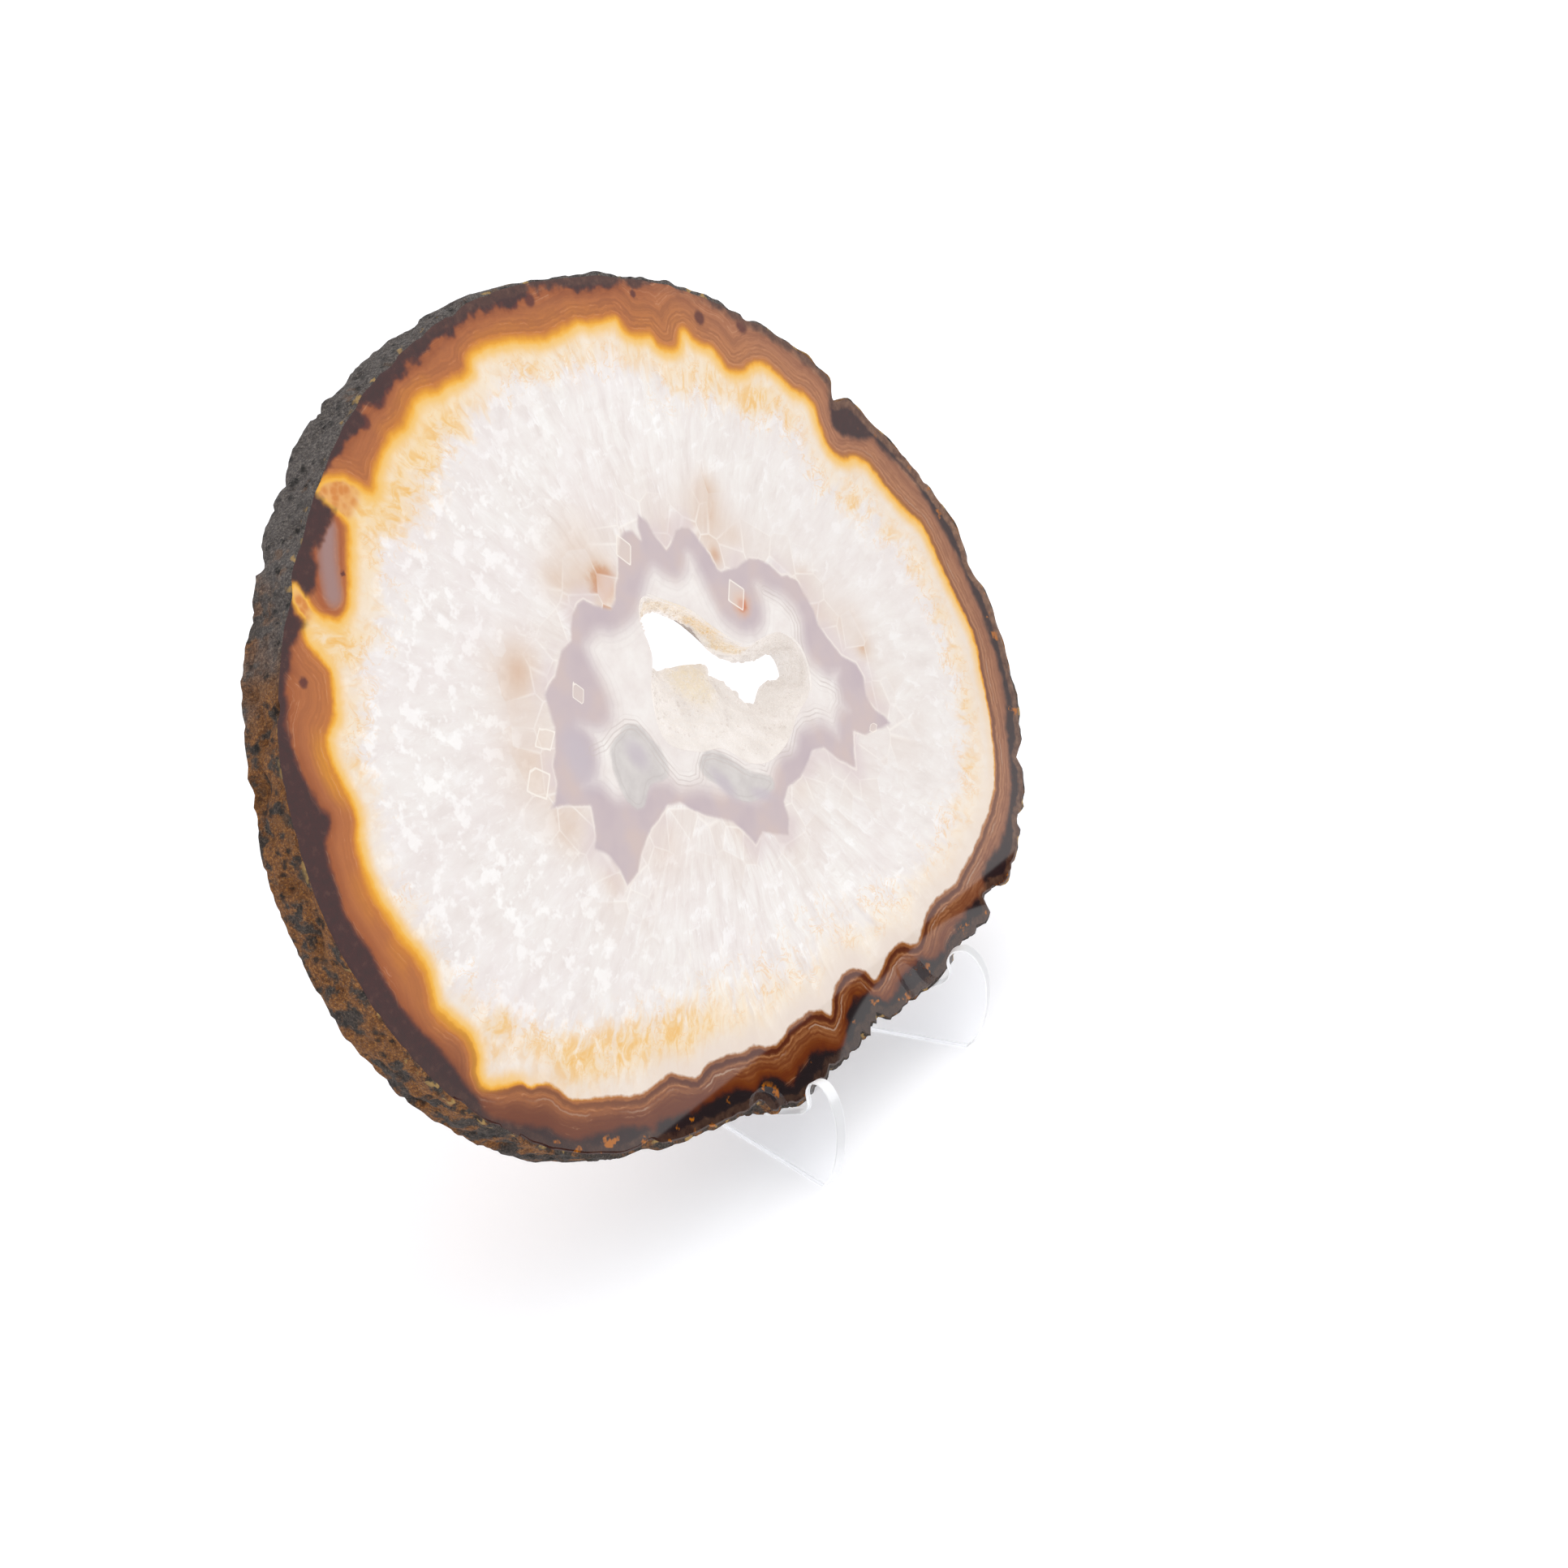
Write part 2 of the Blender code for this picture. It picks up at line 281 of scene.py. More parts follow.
# Clear stand: one sheet, folded twice, in millimetres.
standPlan = {
    "middle": (9.0, -12.0),
    "sheet": 2.2,
    "panelHalfWidth": 12.0,
    "panelDistance": 25.0,
    "height": 78.5,
    "splayDegrees": 14.0,
    "bendRadius": 2.6,
    "bendSteps": 8,
    "faceLine": 27.8,
    "clearance": 0.3,
    "toe": (27.6, 0),
    "footFront": [(29.2, 2.1), (30.3, 5.4), (30.9, 9.2), (31.0, 12.6), (30.5, 16.0), (29.1, 19.0)],
    "footTop": [(27.3, 20.6), (25.5, 20.7), (23.9, 19.6), (23.2, 17.6)],
    "groove": [(23.6, 15.6), (23.4, 14.2), (22.4, 13.0)],
    "seatBack": (13.9, 8.4),
    "edgeBevel": 0.25,
    "brightAbove": 40,
}


def backLine(height):
    splay = math.radians(standPlan["splayDegrees"])
    behind = slicePlan["thickness"] + standPlan["clearance"] + standPlan["sheet"] / 2 * math.sin(splay)
    reach = standPlan["faceLine"] - (behind + height * math.sin(lean)) / math.cos(lean)
    return reach / math.cos(splay)


def roundedRun(points, steps):
    # More points on an open run, so that the saw's curve shows no corners.
    run = [Vector(p) for p in points]
    out = []
    for k in range(len(run) - 1):
        before = run[max(k - 1, 0)]
        beyond = run[min(k + 2, len(run) - 1)]
        out += [splinePoint(before, run[k], run[k + 1], beyond, j / steps) for j in range(steps)]
    return out + [run[-1]]


def makeStand():
    splay = math.radians(standPlan["splayDegrees"])
    half = standPlan["panelHalfWidth"]
    foldBack = -standPlan["panelDistance"] / math.cos(splay)
    curve = [standPlan["toe"]] + standPlan["footFront"] + standPlan["footTop"] + standPlan["groove"]
    low = standPlan["seatBack"][1] + 0.3
    wing = roundedRun(curve, 4)
    wing += [Vector(standPlan["seatBack"]), Vector((backLine(low), low))]
    wing += [Vector((backLine(standPlan["height"]), standPlan["height"]))]
    flat = [Vector((half + p.x - foldBack, p.y)) for p in wing]
    outline = flat + [Vector((-p.x, p.y)) for p in reversed(flat)]
    deselectAll()
    bpy.ops.mesh.primitive_circle_add(vertices=len(outline), radius=0.05, fill_type="NGON")
    piece = bpy.context.object
    piece.name = "clearStand"
    piece.data.name = "clearStand"
    for vert, place in zip(piece.data.vertices, outline):
        vert.co = (place.x * mm, 0, place.y * mm)
    turn = math.radians(90) - splay
    tangent = standPlan["bendRadius"] * math.tan(turn / 2)
    bpy.ops.object.mode_set(mode="EDIT")
    for side in (-1, 1):
        for k in range(standPlan["bendSteps"] + 1):
            place = side * (half - tangent + 2 * tangent * k / standPlan["bendSteps"])
            bpy.ops.mesh.select_all(action="SELECT")
            bpy.ops.mesh.bisect(plane_co=(place * mm, 0, 0), plane_no=(1, 0, 0))
    bpy.ops.object.mode_set(mode="OBJECT")
    for vert in piece.data.vertices:
        side = 1 if vert.co.x > 0 else -1
        along = abs(vert.co.x) / mm
        if along <= half - tangent:
            x, y = along, standPlan["panelDistance"]
        elif along < half + tangent:
            angle = turn * (along - half + tangent) / (2 * tangent)
            x = half - tangent + standPlan["bendRadius"] * math.sin(angle)
            y = standPlan["panelDistance"] - standPlan["bendRadius"] * (1 - math.cos(angle))
        else:
            x = half + (along - half) * math.sin(splay)
            y = standPlan["panelDistance"] - (along - half) * math.cos(splay)
        vert.co.x = (standPlan["middle"][0] + side * x) * mm
        vert.co.y = (standPlan["middle"][1] + y) * mm
    piece.data.materials.append(makeAcrylicMaterial("clearAcrylic", 0.0, 1.0, 0.02))
    piece.data.materials.append(makeAcrylicMaterial("sawnAcrylic", 0.28, 0.45, 0.1))
    thick = piece.modifiers.new("sheet", "SOLIDIFY")
    thick.thickness = standPlan["sheet"] * mm
    thick.offset = 0
    thick.material_offset_rim = 1
    soft = piece.modifiers.new("edges", "BEVEL")
    soft.width = standPlan["edgeBevel"] * mm
    soft.segments = 2
    soft.limit_method = "ANGLE"
    soft.angle_limit = math.radians(40)
    soft.material = 1
    applyModifiers(piece)
    useOnly(piece)
    bpy.ops.object.shade_smooth_by_angle(angle=math.radians(50))
    flat = piece.modifiers.new("flat faces", "WEIGHTED_NORMAL")
    flat.keep_sharp = True
    flat.weight = 100
    applyModifiers(piece)
    # The upper edges gather the most light.
    piece.data.materials.append(makeAcrylicMaterial("brightAcrylic", 0.28, 0.3, 0.8))
    for face in piece.data.polygons:
        if face.material_index == 1 and face.center.z > standPlan["brightAbove"] * mm:
            face.material_index = 2
    piece.visible_shadow = False  # clear sheet hardly shades the table
    return piece


# Lining of the hollow: small quartz points on a sloping wall.
drusePlan = {
    "pointsAround": 560,
    "rows": 46,
    "topDepth": 0.02,
    "bottomDepth": 8.7,
    "tuck": 0.45,
    "grainSize": 1.6,
    "grainHeight": 0.4,
    "fineSize": 0.5,
    "fineHeight": 0.2,
    "raggedHeight": 0.7,
    "points": 320,
    "pointSize": (0.25, 0.6),
    "pointLean": 0.5,
    "pointDepths": (0.9, 8.3),
    "pointSink": 0.15,
    "riseDepth": 1.4,
    # Iron stains: place, size, strength and colour.
    "stains": [
        ((3.5, 93.0, -4.0), 6.5, 0.85, (0.50, 0.36, 0.19, 1)),
        ((9.0, 87.5, -4.0), 5.0, 0.8, (0.50, 0.38, 0.22, 1)),
        ((-3.0, 99.5, -3.0), 7.0, 0.6, (0.50, 0.39, 0.25, 1)),
        ((1.0, 86.0, -5.5), 7.5, 0.65, (0.50, 0.42, 0.29, 1)),
    ],
}


def wallPlace(position, depth):
    share = depth / slicePlan["thickness"]
    place = throughPoints(mouthLine, position).lerp(throughPoints(throatLine, position), share)
    return Vector((place.x, place.y, -depth))


def wallNormal(position, depth):
    # Out of the wall, into the hollow.
    along = wallPlace(position + 0.05, depth) - wallPlace(position - 0.05, depth)
    down = wallPlace(position, depth + 0.5) - wallPlace(position, depth - 0.5)
    return along.cross(down).normalized()


def grainHeight(place):
    # Sugar grains of two sizes, highest at their middles.
    shift = Vector((31.0, 17.0, 5.0))
    coarse = noise.voronoi(place / drusePlan["grainSize"] + shift)[0][0]
    fine = noise.voronoi(place / drusePlan["fineSize"] + shift)[0][0]
    ragged = noise.noise(place * 0.55 + shift) * (place.z / slicePlan["thickness"]) ** 2
    return (drusePlan["grainHeight"] * (0.7 - coarse) + drusePlan["fineHeight"] * (0.6 - fine)
            + drusePlan["raggedHeight"] * ragged)


def makeQuartzPoint():
    # One six-sided quartz point, modelled once.
    deselectAll()
    bpy.ops.mesh.primitive_cone_add(vertices=6, radius1=0.5 * mm, radius2=0.42 * mm, depth=0.8 * mm,
                                    end_fill_type="NGON")
    point = bpy.context.object
    point.name = "quartzPoint"
    bpy.ops.object.mode_set(mode="EDIT")
    bpy.ops.mesh.select_mode(type="FACE")
    bpy.ops.mesh.select_all(action="DESELECT")
    mesh = bmesh.from_edit_mesh(point.data)
    for face in mesh.faces:
        face.select = face.normal.z > 0.9
    bmesh.update_edit_mesh(point.data)
    bpy.ops.mesh.extrude_region_move(TRANSFORM_OT_translate={"value": (0, 0, 0.42 * mm)})
    bpy.ops.mesh.merge(type="CENTER")
    bpy.ops.object.mode_set(mode="OBJECT")
    return point


def tuckedRing(depth):
    # The crust's border goes a little way into the wall.
    places = []
    for k in range(drusePlan["pointsAround"]):
        position = k * len(mouthLine) / drusePlan["pointsAround"]
        tuck = wallNormal(position, depth) * drusePlan["tuck"]
        places.append((wallPlace(position, depth) - tuck) * mm)
    return places


def makeDruse():
    count = drusePlan["pointsAround"]
    total = len(mouthLine)
    top, bottom, rows = drusePlan["topDepth"], drusePlan["bottomDepth"], drusePlan["rows"]
    rings = [tuckedRing(top), [wallPlace(k * total / count, top) * mm for k in range(count)]]
    for row in range(1, rows + 1):
        depth = top + (bottom - top) * row / rows
        rise = min(1.0, (depth - top) / drusePlan["riseDepth"])
        ring = []
        for k in range(count):
            position = k * total / count
            place = wallPlace(position, depth)
            ring.append((place + wallNormal(position, depth) * grainHeight(place) * rise) * mm)
        rings.append(ring)
    rings += [tuckedRing(bottom), rings[0]]
    piece = stackRings("quartzDruse", rings, {})
    bpy.ops.mesh.remove_doubles(threshold=0.001 * mm)
    bpy.ops.mesh.normals_make_consistent(inside=False)
    bpy.ops.object.mode_set(mode="OBJECT")
    point = makeQuartzPoint()
    chance = random.Random(11)
    crystals = []
    for k in range(drusePlan["points"]):
        position = chance.uniform(0, total)
        depth = chance.uniform(*drusePlan["pointDepths"])
        size = chance.uniform(*drusePlan["pointSize"])
        leaning = Vector([chance.uniform(-1, 1) * drusePlan["pointLean"] for axis in range(3)])
        heading = (wallNormal(position, depth) + leaning).normalized()
        turn = heading.to_track_quat("Z", "Y").to_matrix().to_4x4()
        spin = Matrix.Rotation(chance.uniform(0, math.pi), 4, "Z")
        crystal = point.copy()
        crystal.data = point.data.copy()
        bpy.context.scene.collection.objects.link(crystal)
        place = (wallPlace(position, depth) + heading * drusePlan["pointSink"]) * mm
        crystal.data.transform(Matrix.Translation(place) @ turn @ spin @ Matrix.Scale(size, 4))
        crystals.append(crystal)
    bpy.data.objects.remove(point, do_unlink=True)
    useOnly(piece)
    for crystal in crystals:
        crystal.select_set(True)
    bpy.ops.object.join()
    u, v = markPlan["origin"]
    spots = [(vert.co.x / mm + u, vert.co.y / mm + v, vert.co.z / mm) for vert in piece.data.vertices]
    layer = piece.data.attributes.new("place", "FLOAT_VECTOR", "POINT")
    layer.data.foreach_set("vector", [number for spot in spots for number in spot])
    piece.data.transform(slicePlace)
    return piece


# Markings, drawn on the face: u to the right and v up the slope, in millimetres.
markPlan = {
    "origin": (-12.0, 86.0),
    "spokeCentre": (-8.0, 84.0, 0.0),
    # Where the orange band meets the white quartz, round from the right.
    "bandInner": [(70.3, 73), (70, 78), (70, 83), (69.2, 86), (67, 89), (65, 93), (63.2, 97), (62, 100.3),
        (59.5, 102.8), (57, 103.5), (54.5, 104.8), (53, 107), (52.7, 110), (53, 113), (53.5, 115.5),
        (52.5, 118), (50.3, 119.5), (48.3, 122.5), (46, 126), (43, 127.5), (40, 127.4), (37, 128),
        (35, 129.5), (34.2, 132), (33.3, 134), (31, 135.5), (29.5, 137), (28.5, 139.2), (27.3, 138.5),
        (26, 137.3), (24, 137), (21.5, 138), (20, 139.5), (19.3, 141.3), (17, 142), (14.5, 143.3),
        (13.3, 145), (12.8, 146.8), (10, 147.3), (6, 148.2), (3.5, 149.2), (0, 149.3), (-4, 149.3),
        (-7, 149.8), (-10, 151), (-15, 152.5), (-20, 153.3), (-24, 153), (-25, 151.3), (-28, 150.7),
        (-31, 150.9), (-34, 150.6), (-37, 151.3), (-40, 151), (-44, 148.5), (-48, 148), (-51, 146.5),
        (-54, 144.8), (-55.5, 142.8), (-57, 142.2), (-58.5, 143), (-60, 145), (-61.5, 146.3), (-65, 147.6),
        (-68, 146.6), (-66.3, 145), (-65, 142.5), (-64.2, 140.5), (-64.7, 139), (-67, 135.5), (-69.5, 132),
        (-72, 129), (-75, 128.2), (-77.5, 129.5), (-79, 131.5), (-79.5, 133.5), (-80, 136.5), (-81, 136),
        (-81.7, 134), (-80.9, 131.5), (-82, 130), (-82.5, 128), (-81.5, 125.5), (-80.7, 122.5), (-81.5, 120),
        (-83, 117.5), (-84, 115.8), (-87, 114.3), (-88, 111.5), (-88.3, 108), (-88, 104), (-88.7, 101),
        (-90.5, 98), (-91.3, 95), (-91.8, 91), (-91.3, 87), (-90.7, 84), (-90.3, 81.5), (-89.3, 79),
        (-88.8, 75.5), (-89.5, 72.5), (-90.3, 70), (-89.3, 67.5), (-87.7, 65), (-86.8, 62), (-87, 59.5),
        (-88.7, 57.3), (-89, 55.3), (-87, 53.8), (-84, 52.7), (-81.5, 51.5), (-80.3, 50), (-78, 49.3),
        (-76, 47.8), (-74.8, 45.7), (-73.5, 43.8), (-71, 42.3), (-68, 41), (-65.5, 39.8), (-63, 38.3),
        (-60, 36.8), (-57, 36.3), (-54, 36.2), (-51, 35.8), (-49, 34.5), (-47, 32.8), (-45, 32.2),
        (-42, 32.7), (-40, 32.3), (-37, 31.5), (-35, 30.7), (-33, 29.8), (-30, 29.5), (-28, 28.3),
        (-26, 27.3), (-24, 27), (-22, 27.3), (-20, 27.8), (-17, 27.5), (-14, 27.3), (-12, 26.5),
        (-10.5, 25.3), (-9.3, 24), (-8, 25), (-6.5, 26.8), (-4, 27.9), (-1.5, 28.2), (1, 27.8), (3, 26.8),
        (4.3, 25), (5, 23.3), (6.5, 23.3), (8.5, 24), (10.5, 25), (13, 25.5), (15.5, 25.3), (17.5, 24.2),
        (19.5, 23), (21.5, 23.5), (23.5, 24.8), (26, 26.2), (29, 26.8), (32, 26.9), (35, 26.6), (38, 26.8),
        (41, 28), (44, 28.7), (46.5, 29.5), (50, 31), (53.5, 32.5), (56.5, 34.2), (59, 36), (61, 38.5),
        (63, 41.5), (64.5, 44.5), (66, 47.5), (67.3, 51), (68.5, 55), (70.3, 59), (71, 63), (70.7, 68)],
    # Where the near-black skin meets the orange band.
    "darkInner": [(77, 70), (76.8, 76), (76, 82), (75, 88), (73.5, 93), (71, 98), (68, 102), (67, 104.5),
        (64, 105.5), (61, 107), (58.5, 108.5), (57.2, 110.5), (58, 113), (59.5, 115), (60.5, 117),
        (60, 119.5), (57.5, 123), (55, 126), (51.5, 129.5), (48, 133), (44, 136.5), (41, 139.3), (38, 142),
        (35, 144.8), (31, 148), (27, 150.2), (22, 150.7), (18, 152.8), (13, 153.2), (10, 154), (7, 155),
        (4, 156.8), (0, 158), (-4, 158.8), (-9, 157.5), (-12, 158.5), (-17, 159.3), (-22, 159.2),
        (-27, 158.8), (-31, 159), (-34, 158), (-38, 157.5), (-42, 157), (-45, 156), (-47, 154.5), (-49, 155),
        (-52, 155.3), (-53, 153), (-56, 152), (-58, 152), (-60, 150.5), (-63, 149.8), (-66, 149), (-69, 148),
        (-68, 146), (-66.5, 143.5), (-68, 142), (-71, 141), (-74, 139.5), (-75, 137), (-76.5, 135),
        (-79, 134.5), (-79.5, 137), (-80.7, 138), (-82, 135.5), (-83, 132.5), (-81.5, 131), (-84, 129.8),
        (-86.5, 129), (-88, 127), (-90.5, 125.5), (-92, 122.5), (-94, 119.5), (-95, 116.5), (-95.5, 113),
        (-95.3, 109.5), (-95.5, 106.5), (-94.2, 104.3), (-94.5, 103), (-97, 101.5), (-98, 99), (-98.7, 95),
        (-99.8, 91), (-99.3, 87), (-98.5, 83), (-98.3, 78), (-98, 74), (-97, 70.5), (-95.5, 67), (-94.5, 64),
        (-93.5, 61), (-93, 58), (-92, 55), (-91.5, 52), (-91, 49.8), (-88.5, 48), (-86, 46), (-84, 44.5),
        (-81.5, 43), (-80, 41), (-78.5, 39), (-76, 37.5), (-73, 36.5), (-70, 35.3), (-67, 34.3), (-64, 33),
        (-62, 31.5), (-60.5, 30), (-58, 30.5), (-55, 29.5), (-52, 28.5), (-50, 27.8), (-46, 27), (-42, 26.5),
        (-38, 25.5), (-36, 24), (-34, 22.8), (-31, 23.3), (-29, 22.5), (-27, 20.5), (-25, 19), (-22, 20),
        (-19, 20.8), (-16, 20.5), (-13.5, 19), (-11, 17.5), (-9, 17.5), (-7, 19.5), (-5, 21.5), (-2, 22.7),
        (1, 22.5), (3, 21), (4.5, 19), (6, 18), (9, 18.5), (13, 19.3), (17, 20), (20, 19.5), (23, 18),
        (26, 17.5), (28, 18.5), (31, 19.3), (35, 20.3), (39, 21), (42, 21), (44.5, 21.5), (45.5, 24),
        (48, 25), (51, 25.5), (54, 26), (57, 27.5), (60, 29.5), (62.5, 32), (65, 34), (66.5, 37), (68.5, 41),
        (70.5, 44.5), (73, 47.5), (74.5, 51), (75.5, 55), (76.3, 60), (76.8, 65)],
    # The lilac ring: its outer side has crystal corners, its inner side is smooth.
    "ringOuter": [(33, 75), (31.5, 79), (30.5, 82), (31, 85), (30.5, 88), (30, 91), (28, 93), (26.5, 93.5),
        (25, 96), (22.5, 98.5), (20, 99.5), (16, 99.5), (12, 100.5), (11.3, 101), (11, 104), (10, 107),
        (9, 110), (7, 111), (5, 111), (2.5, 109.5), (1, 109), (0, 112), (-0.5, 115), (-2, 117), (-3.5, 115),
        (-4, 113), (-5, 115), (-7, 115.8), (-9, 115), (-11, 113), (-13, 110), (-14.5, 109), (-16, 107),
        (-18, 106), (-21, 108), (-23, 110), (-25, 110), (-27, 109), (-29, 107), (-30, 105.5), (-33, 105),
        (-35, 103.5), (-37, 102), (-39, 101.5), (-41, 100.5), (-41.5, 98), (-42, 95), (-44, 92), (-46, 90),
        (-47, 87), (-49, 85), (-51, 84.5), (-47, 83), (-44, 81.5), (-42, 80.5), (-43, 78), (-44, 76),
        (-45.5, 74.5), (-43, 72), (-42, 69), (-42, 65.5), (-38, 66.5), (-35, 69), (-31, 71), (-28, 71.5),
        (-25, 72.5), (-22, 71.5), (-20, 69), (-17, 66.5), (-14, 64.5), (-12, 63), (-10, 59.5), (-9, 57),
        (-6, 58), (-3, 56), (0, 54.5), (2, 57), (2.5, 60), (5, 61.5), (9, 61.5), (12, 62.5), (15, 64),
        (18, 63), (20, 60), (22, 58), (24, 56), (25.5, 59), (27.5, 62), (30, 60), (33, 59.5), (36, 59),
        (38.5, 58.5), (37, 61.5), (35.5, 63), (35, 66), (36.5, 69), (36, 72)],
    "ringInner": [(28, 74), (26, 76.5), (25, 79), (26, 82), (27.5, 85), (27, 88), (25, 91), (22, 93.5),
        (19.5, 95.5), (18, 95), (17.8, 93), (17, 90.5), (15, 89), (12, 89.5), (9.5, 91.5), (8, 94), (7.5, 98),
        (7.5, 102), (7, 106), (5, 107), (3, 105), (0.5, 104.5), (-1.5, 106), (-3, 108), (-5, 108.5),
        (-8, 107), (-10, 105.5), (-13, 103.5), (-17, 103), (-20, 103.5), (-23, 105), (-26, 104.5),
        (-28, 103.5), (-28.5, 100), (-28, 96), (-28.5, 93), (-30, 91), (-33, 91.5), (-36, 93.5), (-37.5, 93),
        (-36, 90.5), (-36, 88), (-38, 85.5), (-41, 84.5), (-42, 84.2), (-40, 83), (-38, 81.5), (-37, 79),
        (-35, 77.5), (-33, 76.8), (-31, 75.3), (-28, 76.5), (-26, 76.8), (-23, 75), (-21, 72.5), (-17, 71),
        (-14, 69), (-12, 67.5), (-10, 67), (-8, 65.5), (-6, 63.5), (-3, 62.5), (0, 63), (2, 63.5), (4, 65),
        (7, 66), (10, 65.5), (12, 66), (14, 67.5), (17, 67), (19.5, 66.5), (21.5, 64.5), (23, 62.5),
        (24.5, 64.5), (27, 66), (29, 65.5), (28.5, 68), (29.5, 71), (31, 73)],
    # The fine lines round the hollow.
    "wallLine": [(-36, 88), (-33, 87.5), (-30, 88.3), (-26, 88.3), (-24, 87), (-22.7, 84), (-22.2, 81),
        (-21, 77.5), (-20, 75), (-17.5, 73.5), (-15, 73), (-14, 74.5), (-12, 75.8), (-9.5, 75), (-7, 73),
        (-5, 71), (-3.5, 69), (-1.5, 68.5), (0, 67.5), (1.5, 66.3), (3, 67.3), (5, 67.8), (7, 67.5),
        (9, 66.8), (11, 68.2), (13, 69.8), (16, 70.3), (18, 69.5), (20, 69.3), (22, 67.8), (23.5, 66.5),
        (25, 67.5), (27, 68), (28, 70), (26.5, 72), (24.5, 73.5), (23, 76), (22.5, 79), (23.5, 82),
        (25, 84.5), (25, 87), (23.5, 90), (20.5, 93)],
    # Tan crystals round the ring: place, size, and strength.
    "tanSpots": [(-47, 104, 7, 0.55), (-43, 107, 4.5, 0.5), (-50, 92, 7, 0.6), (-48, 80, 4.5, 0.75),
        (-44, 68, 3, 0.5), (-20, 117, 7, 0.5), (-17.5, 109.5, 3.8, 2.3), (-24, 113, 3.5, 0.6),
        (-28, 116, 3, 0.5), (1, 108, 2.2, 0.7), (3, 112, 2.5, 0.5), (14, 110, 5, 1.0), (17, 114, 3, 0.6),
        (12, 103, 2.2, 0.9), (19, 104, 3, 0.4), (31, 90, 3, 0.7), (32, 84, 3, 0.5), (38, 79, 4.5, 0.5),
        (39.5, 73.5, 2.2, 0.9), (-33.5, 97.3, 1.3, 0.9), (-10, 61, 4, 0.35), (-30, 68, 6, 0.35),
        (8, 60, 3, 0.3), (-2, 108, 2, 0.3), (36, 65, 2.2, 0.6), (-20, 98, 5, 0.25)],
    # Small crystals with a pale outline: place and half-diagonals.
    "pointCrystals": [(-33.5, 97.3, 1.6, 2.2), (-45, 94.3, 2.9, 2.2), (-50.5, 89, 3.3, 3.2),
        (13, 95.3, 2.6, 3.1), (33, 60.3, 1.4, 1.2), (-9, 113, 2.2, 3.0)],
    # Grey eyes in the ring, and the blue-grey core of each: place, half-width, half-height, tilt.
    "eyes": [[(-31.9, 86.7), (-28.7, 87.7), (-25.8, 88.2), (-23.2, 86.7), (-21.6, 83), (-20.8, 80.3),
        (-21.3, 77), (-23.8, 76.6), (-26.7, 77.3), (-30.9, 74.7), (-33.4, 77), (-33.8, 79.5), (-33.4, 83.4)],
        [(-12.6, 75.9), (-10.5, 76.1), (-7.7, 74.5), (-4.5, 70.9), (-2.3, 68.3), (1.7, 65.5), (1.5, 63.2),
        (-4, 63.4), (-8.4, 65.5), (-10.7, 69.1), (-13.4, 72.1), (-13.9, 74.7)]],
    "cores": [(-26.7, 82.9, 1.9, 3.0, 25), (-10.0, 69.6, 1.3, 3.6, 25), (-2.0, 63.7, 2.8, 1.1, -35),
        (-39.5, 88.5, 3.2, 5.2, -8)],
    # Lilac heart of the loose nodule at the left, from end to end, and its half-width.
    "nodule": [(-69.0, 141.5), (-71.8, 137), (-73.8, 132.2)],
    "noduleWidth": 1.9,
    # Dark dots in the band.
    "dots": [(-87, 123.3, 1.0), (-70, 134.3, 0.6), (-5, 157, 1.3), (-9, 157.6, 1.0), (34, 140, 1.4),
        (44, 135, 1.6), (-47, 155, 1.8), (-52, 152.6, 1.3), (-44, 156, 1.2), (20, 149.4, 0.8)],
    # Golden crystals: place, size and strength.
    "goldSpots": [(-64.5, 144.5, 3.2, 1.3), (-67.5, 147.2, 2.0, 1.4), (-61, 141.5, 3.0, 0.8),
        (-79.8, 133.5, 2.2, 1.2), (-78.5, 127, 3.6, 1.2), (-75, 125, 3.5, 0.7), (-56, 140, 4.5, 0.8),
        (-50, 138, 5, 0.6), (-45, 142, 5, 0.7), (-36, 145, 4, 0.6), (-84.5, 108, 2.2, 0.5), (-84, 62, 3, 0.6),
        (-79.7, 61, 3.2, 0.9), (-76, 56, 4, 0.6), (-71.6, 49, 5, 1.0), (-66, 46.5, 5, 0.9),
        (-59, 45.5, 5, 1.0), (-52, 42, 5, 0.8), (-45, 40.5, 5, 0.9), (-38, 38.5, 4, 0.5), (-20, 36, 5, 0.25),
        (-10, 37, 4, 0.25), (3, 38, 5, 0.2), (-84, 57, 2.5, 0.6), (14, 142, 4, 0.5), (22, 131.5, 4, 0.5),
        (30, 130, 4.5, 0.6), (38, 123, 4.5, 0.8), (43, 121.5, 3.5, 0.6), (46, 116, 2.5, 0.5),
        (-12, 147, 4, 0.5), (0, 145, 4, 0.5), (53, 96, 3.5, 0.7), (59, 88, 3.5, 0.5), (62, 80, 3, 0.5),
        (64, 70, 3, 0.6), (64, 62, 3, 0.5), (60, 51, 3, 0.7), (54, 43, 4, 0.6), (45, 38, 4, 0.4)],
    # How far the bands shift through the stone, near its middle.
    "drift": (5.0, 2.0),
    # Strengths in even steps round the slice, from its right-hand side: cream and feathers inside the band
    # and how far they reach, grey of the band, drips of the dark skin, gold of the band's inner edge, lines
    # in the band, and brown outside the skin.
    "round": {
        "cream": [0.6, 0.6, 0.6, 0.6, 1.0, 0.8, 0.4, 0.4, 0.75, 0.5, 0.5, 0.6],
        "feather": [0.35, 0.35, 0.4, 0.35, 0.7, 0.5, 0.2, 0.25, 0.38, 0.1, 0.2, 0.3],
        "grey": [0.5, 0.1, 0.0, 0.0, 0.0, 0.0, 0.0, 0.5, 1.0, 1.0, 0.9, 0.6],
        "drip": [0.35, 0.5, 0.8, 1.0, 1.1, 0.5, 0.2, 0.25, 0.5, 0.6, 0.6, 0.5],
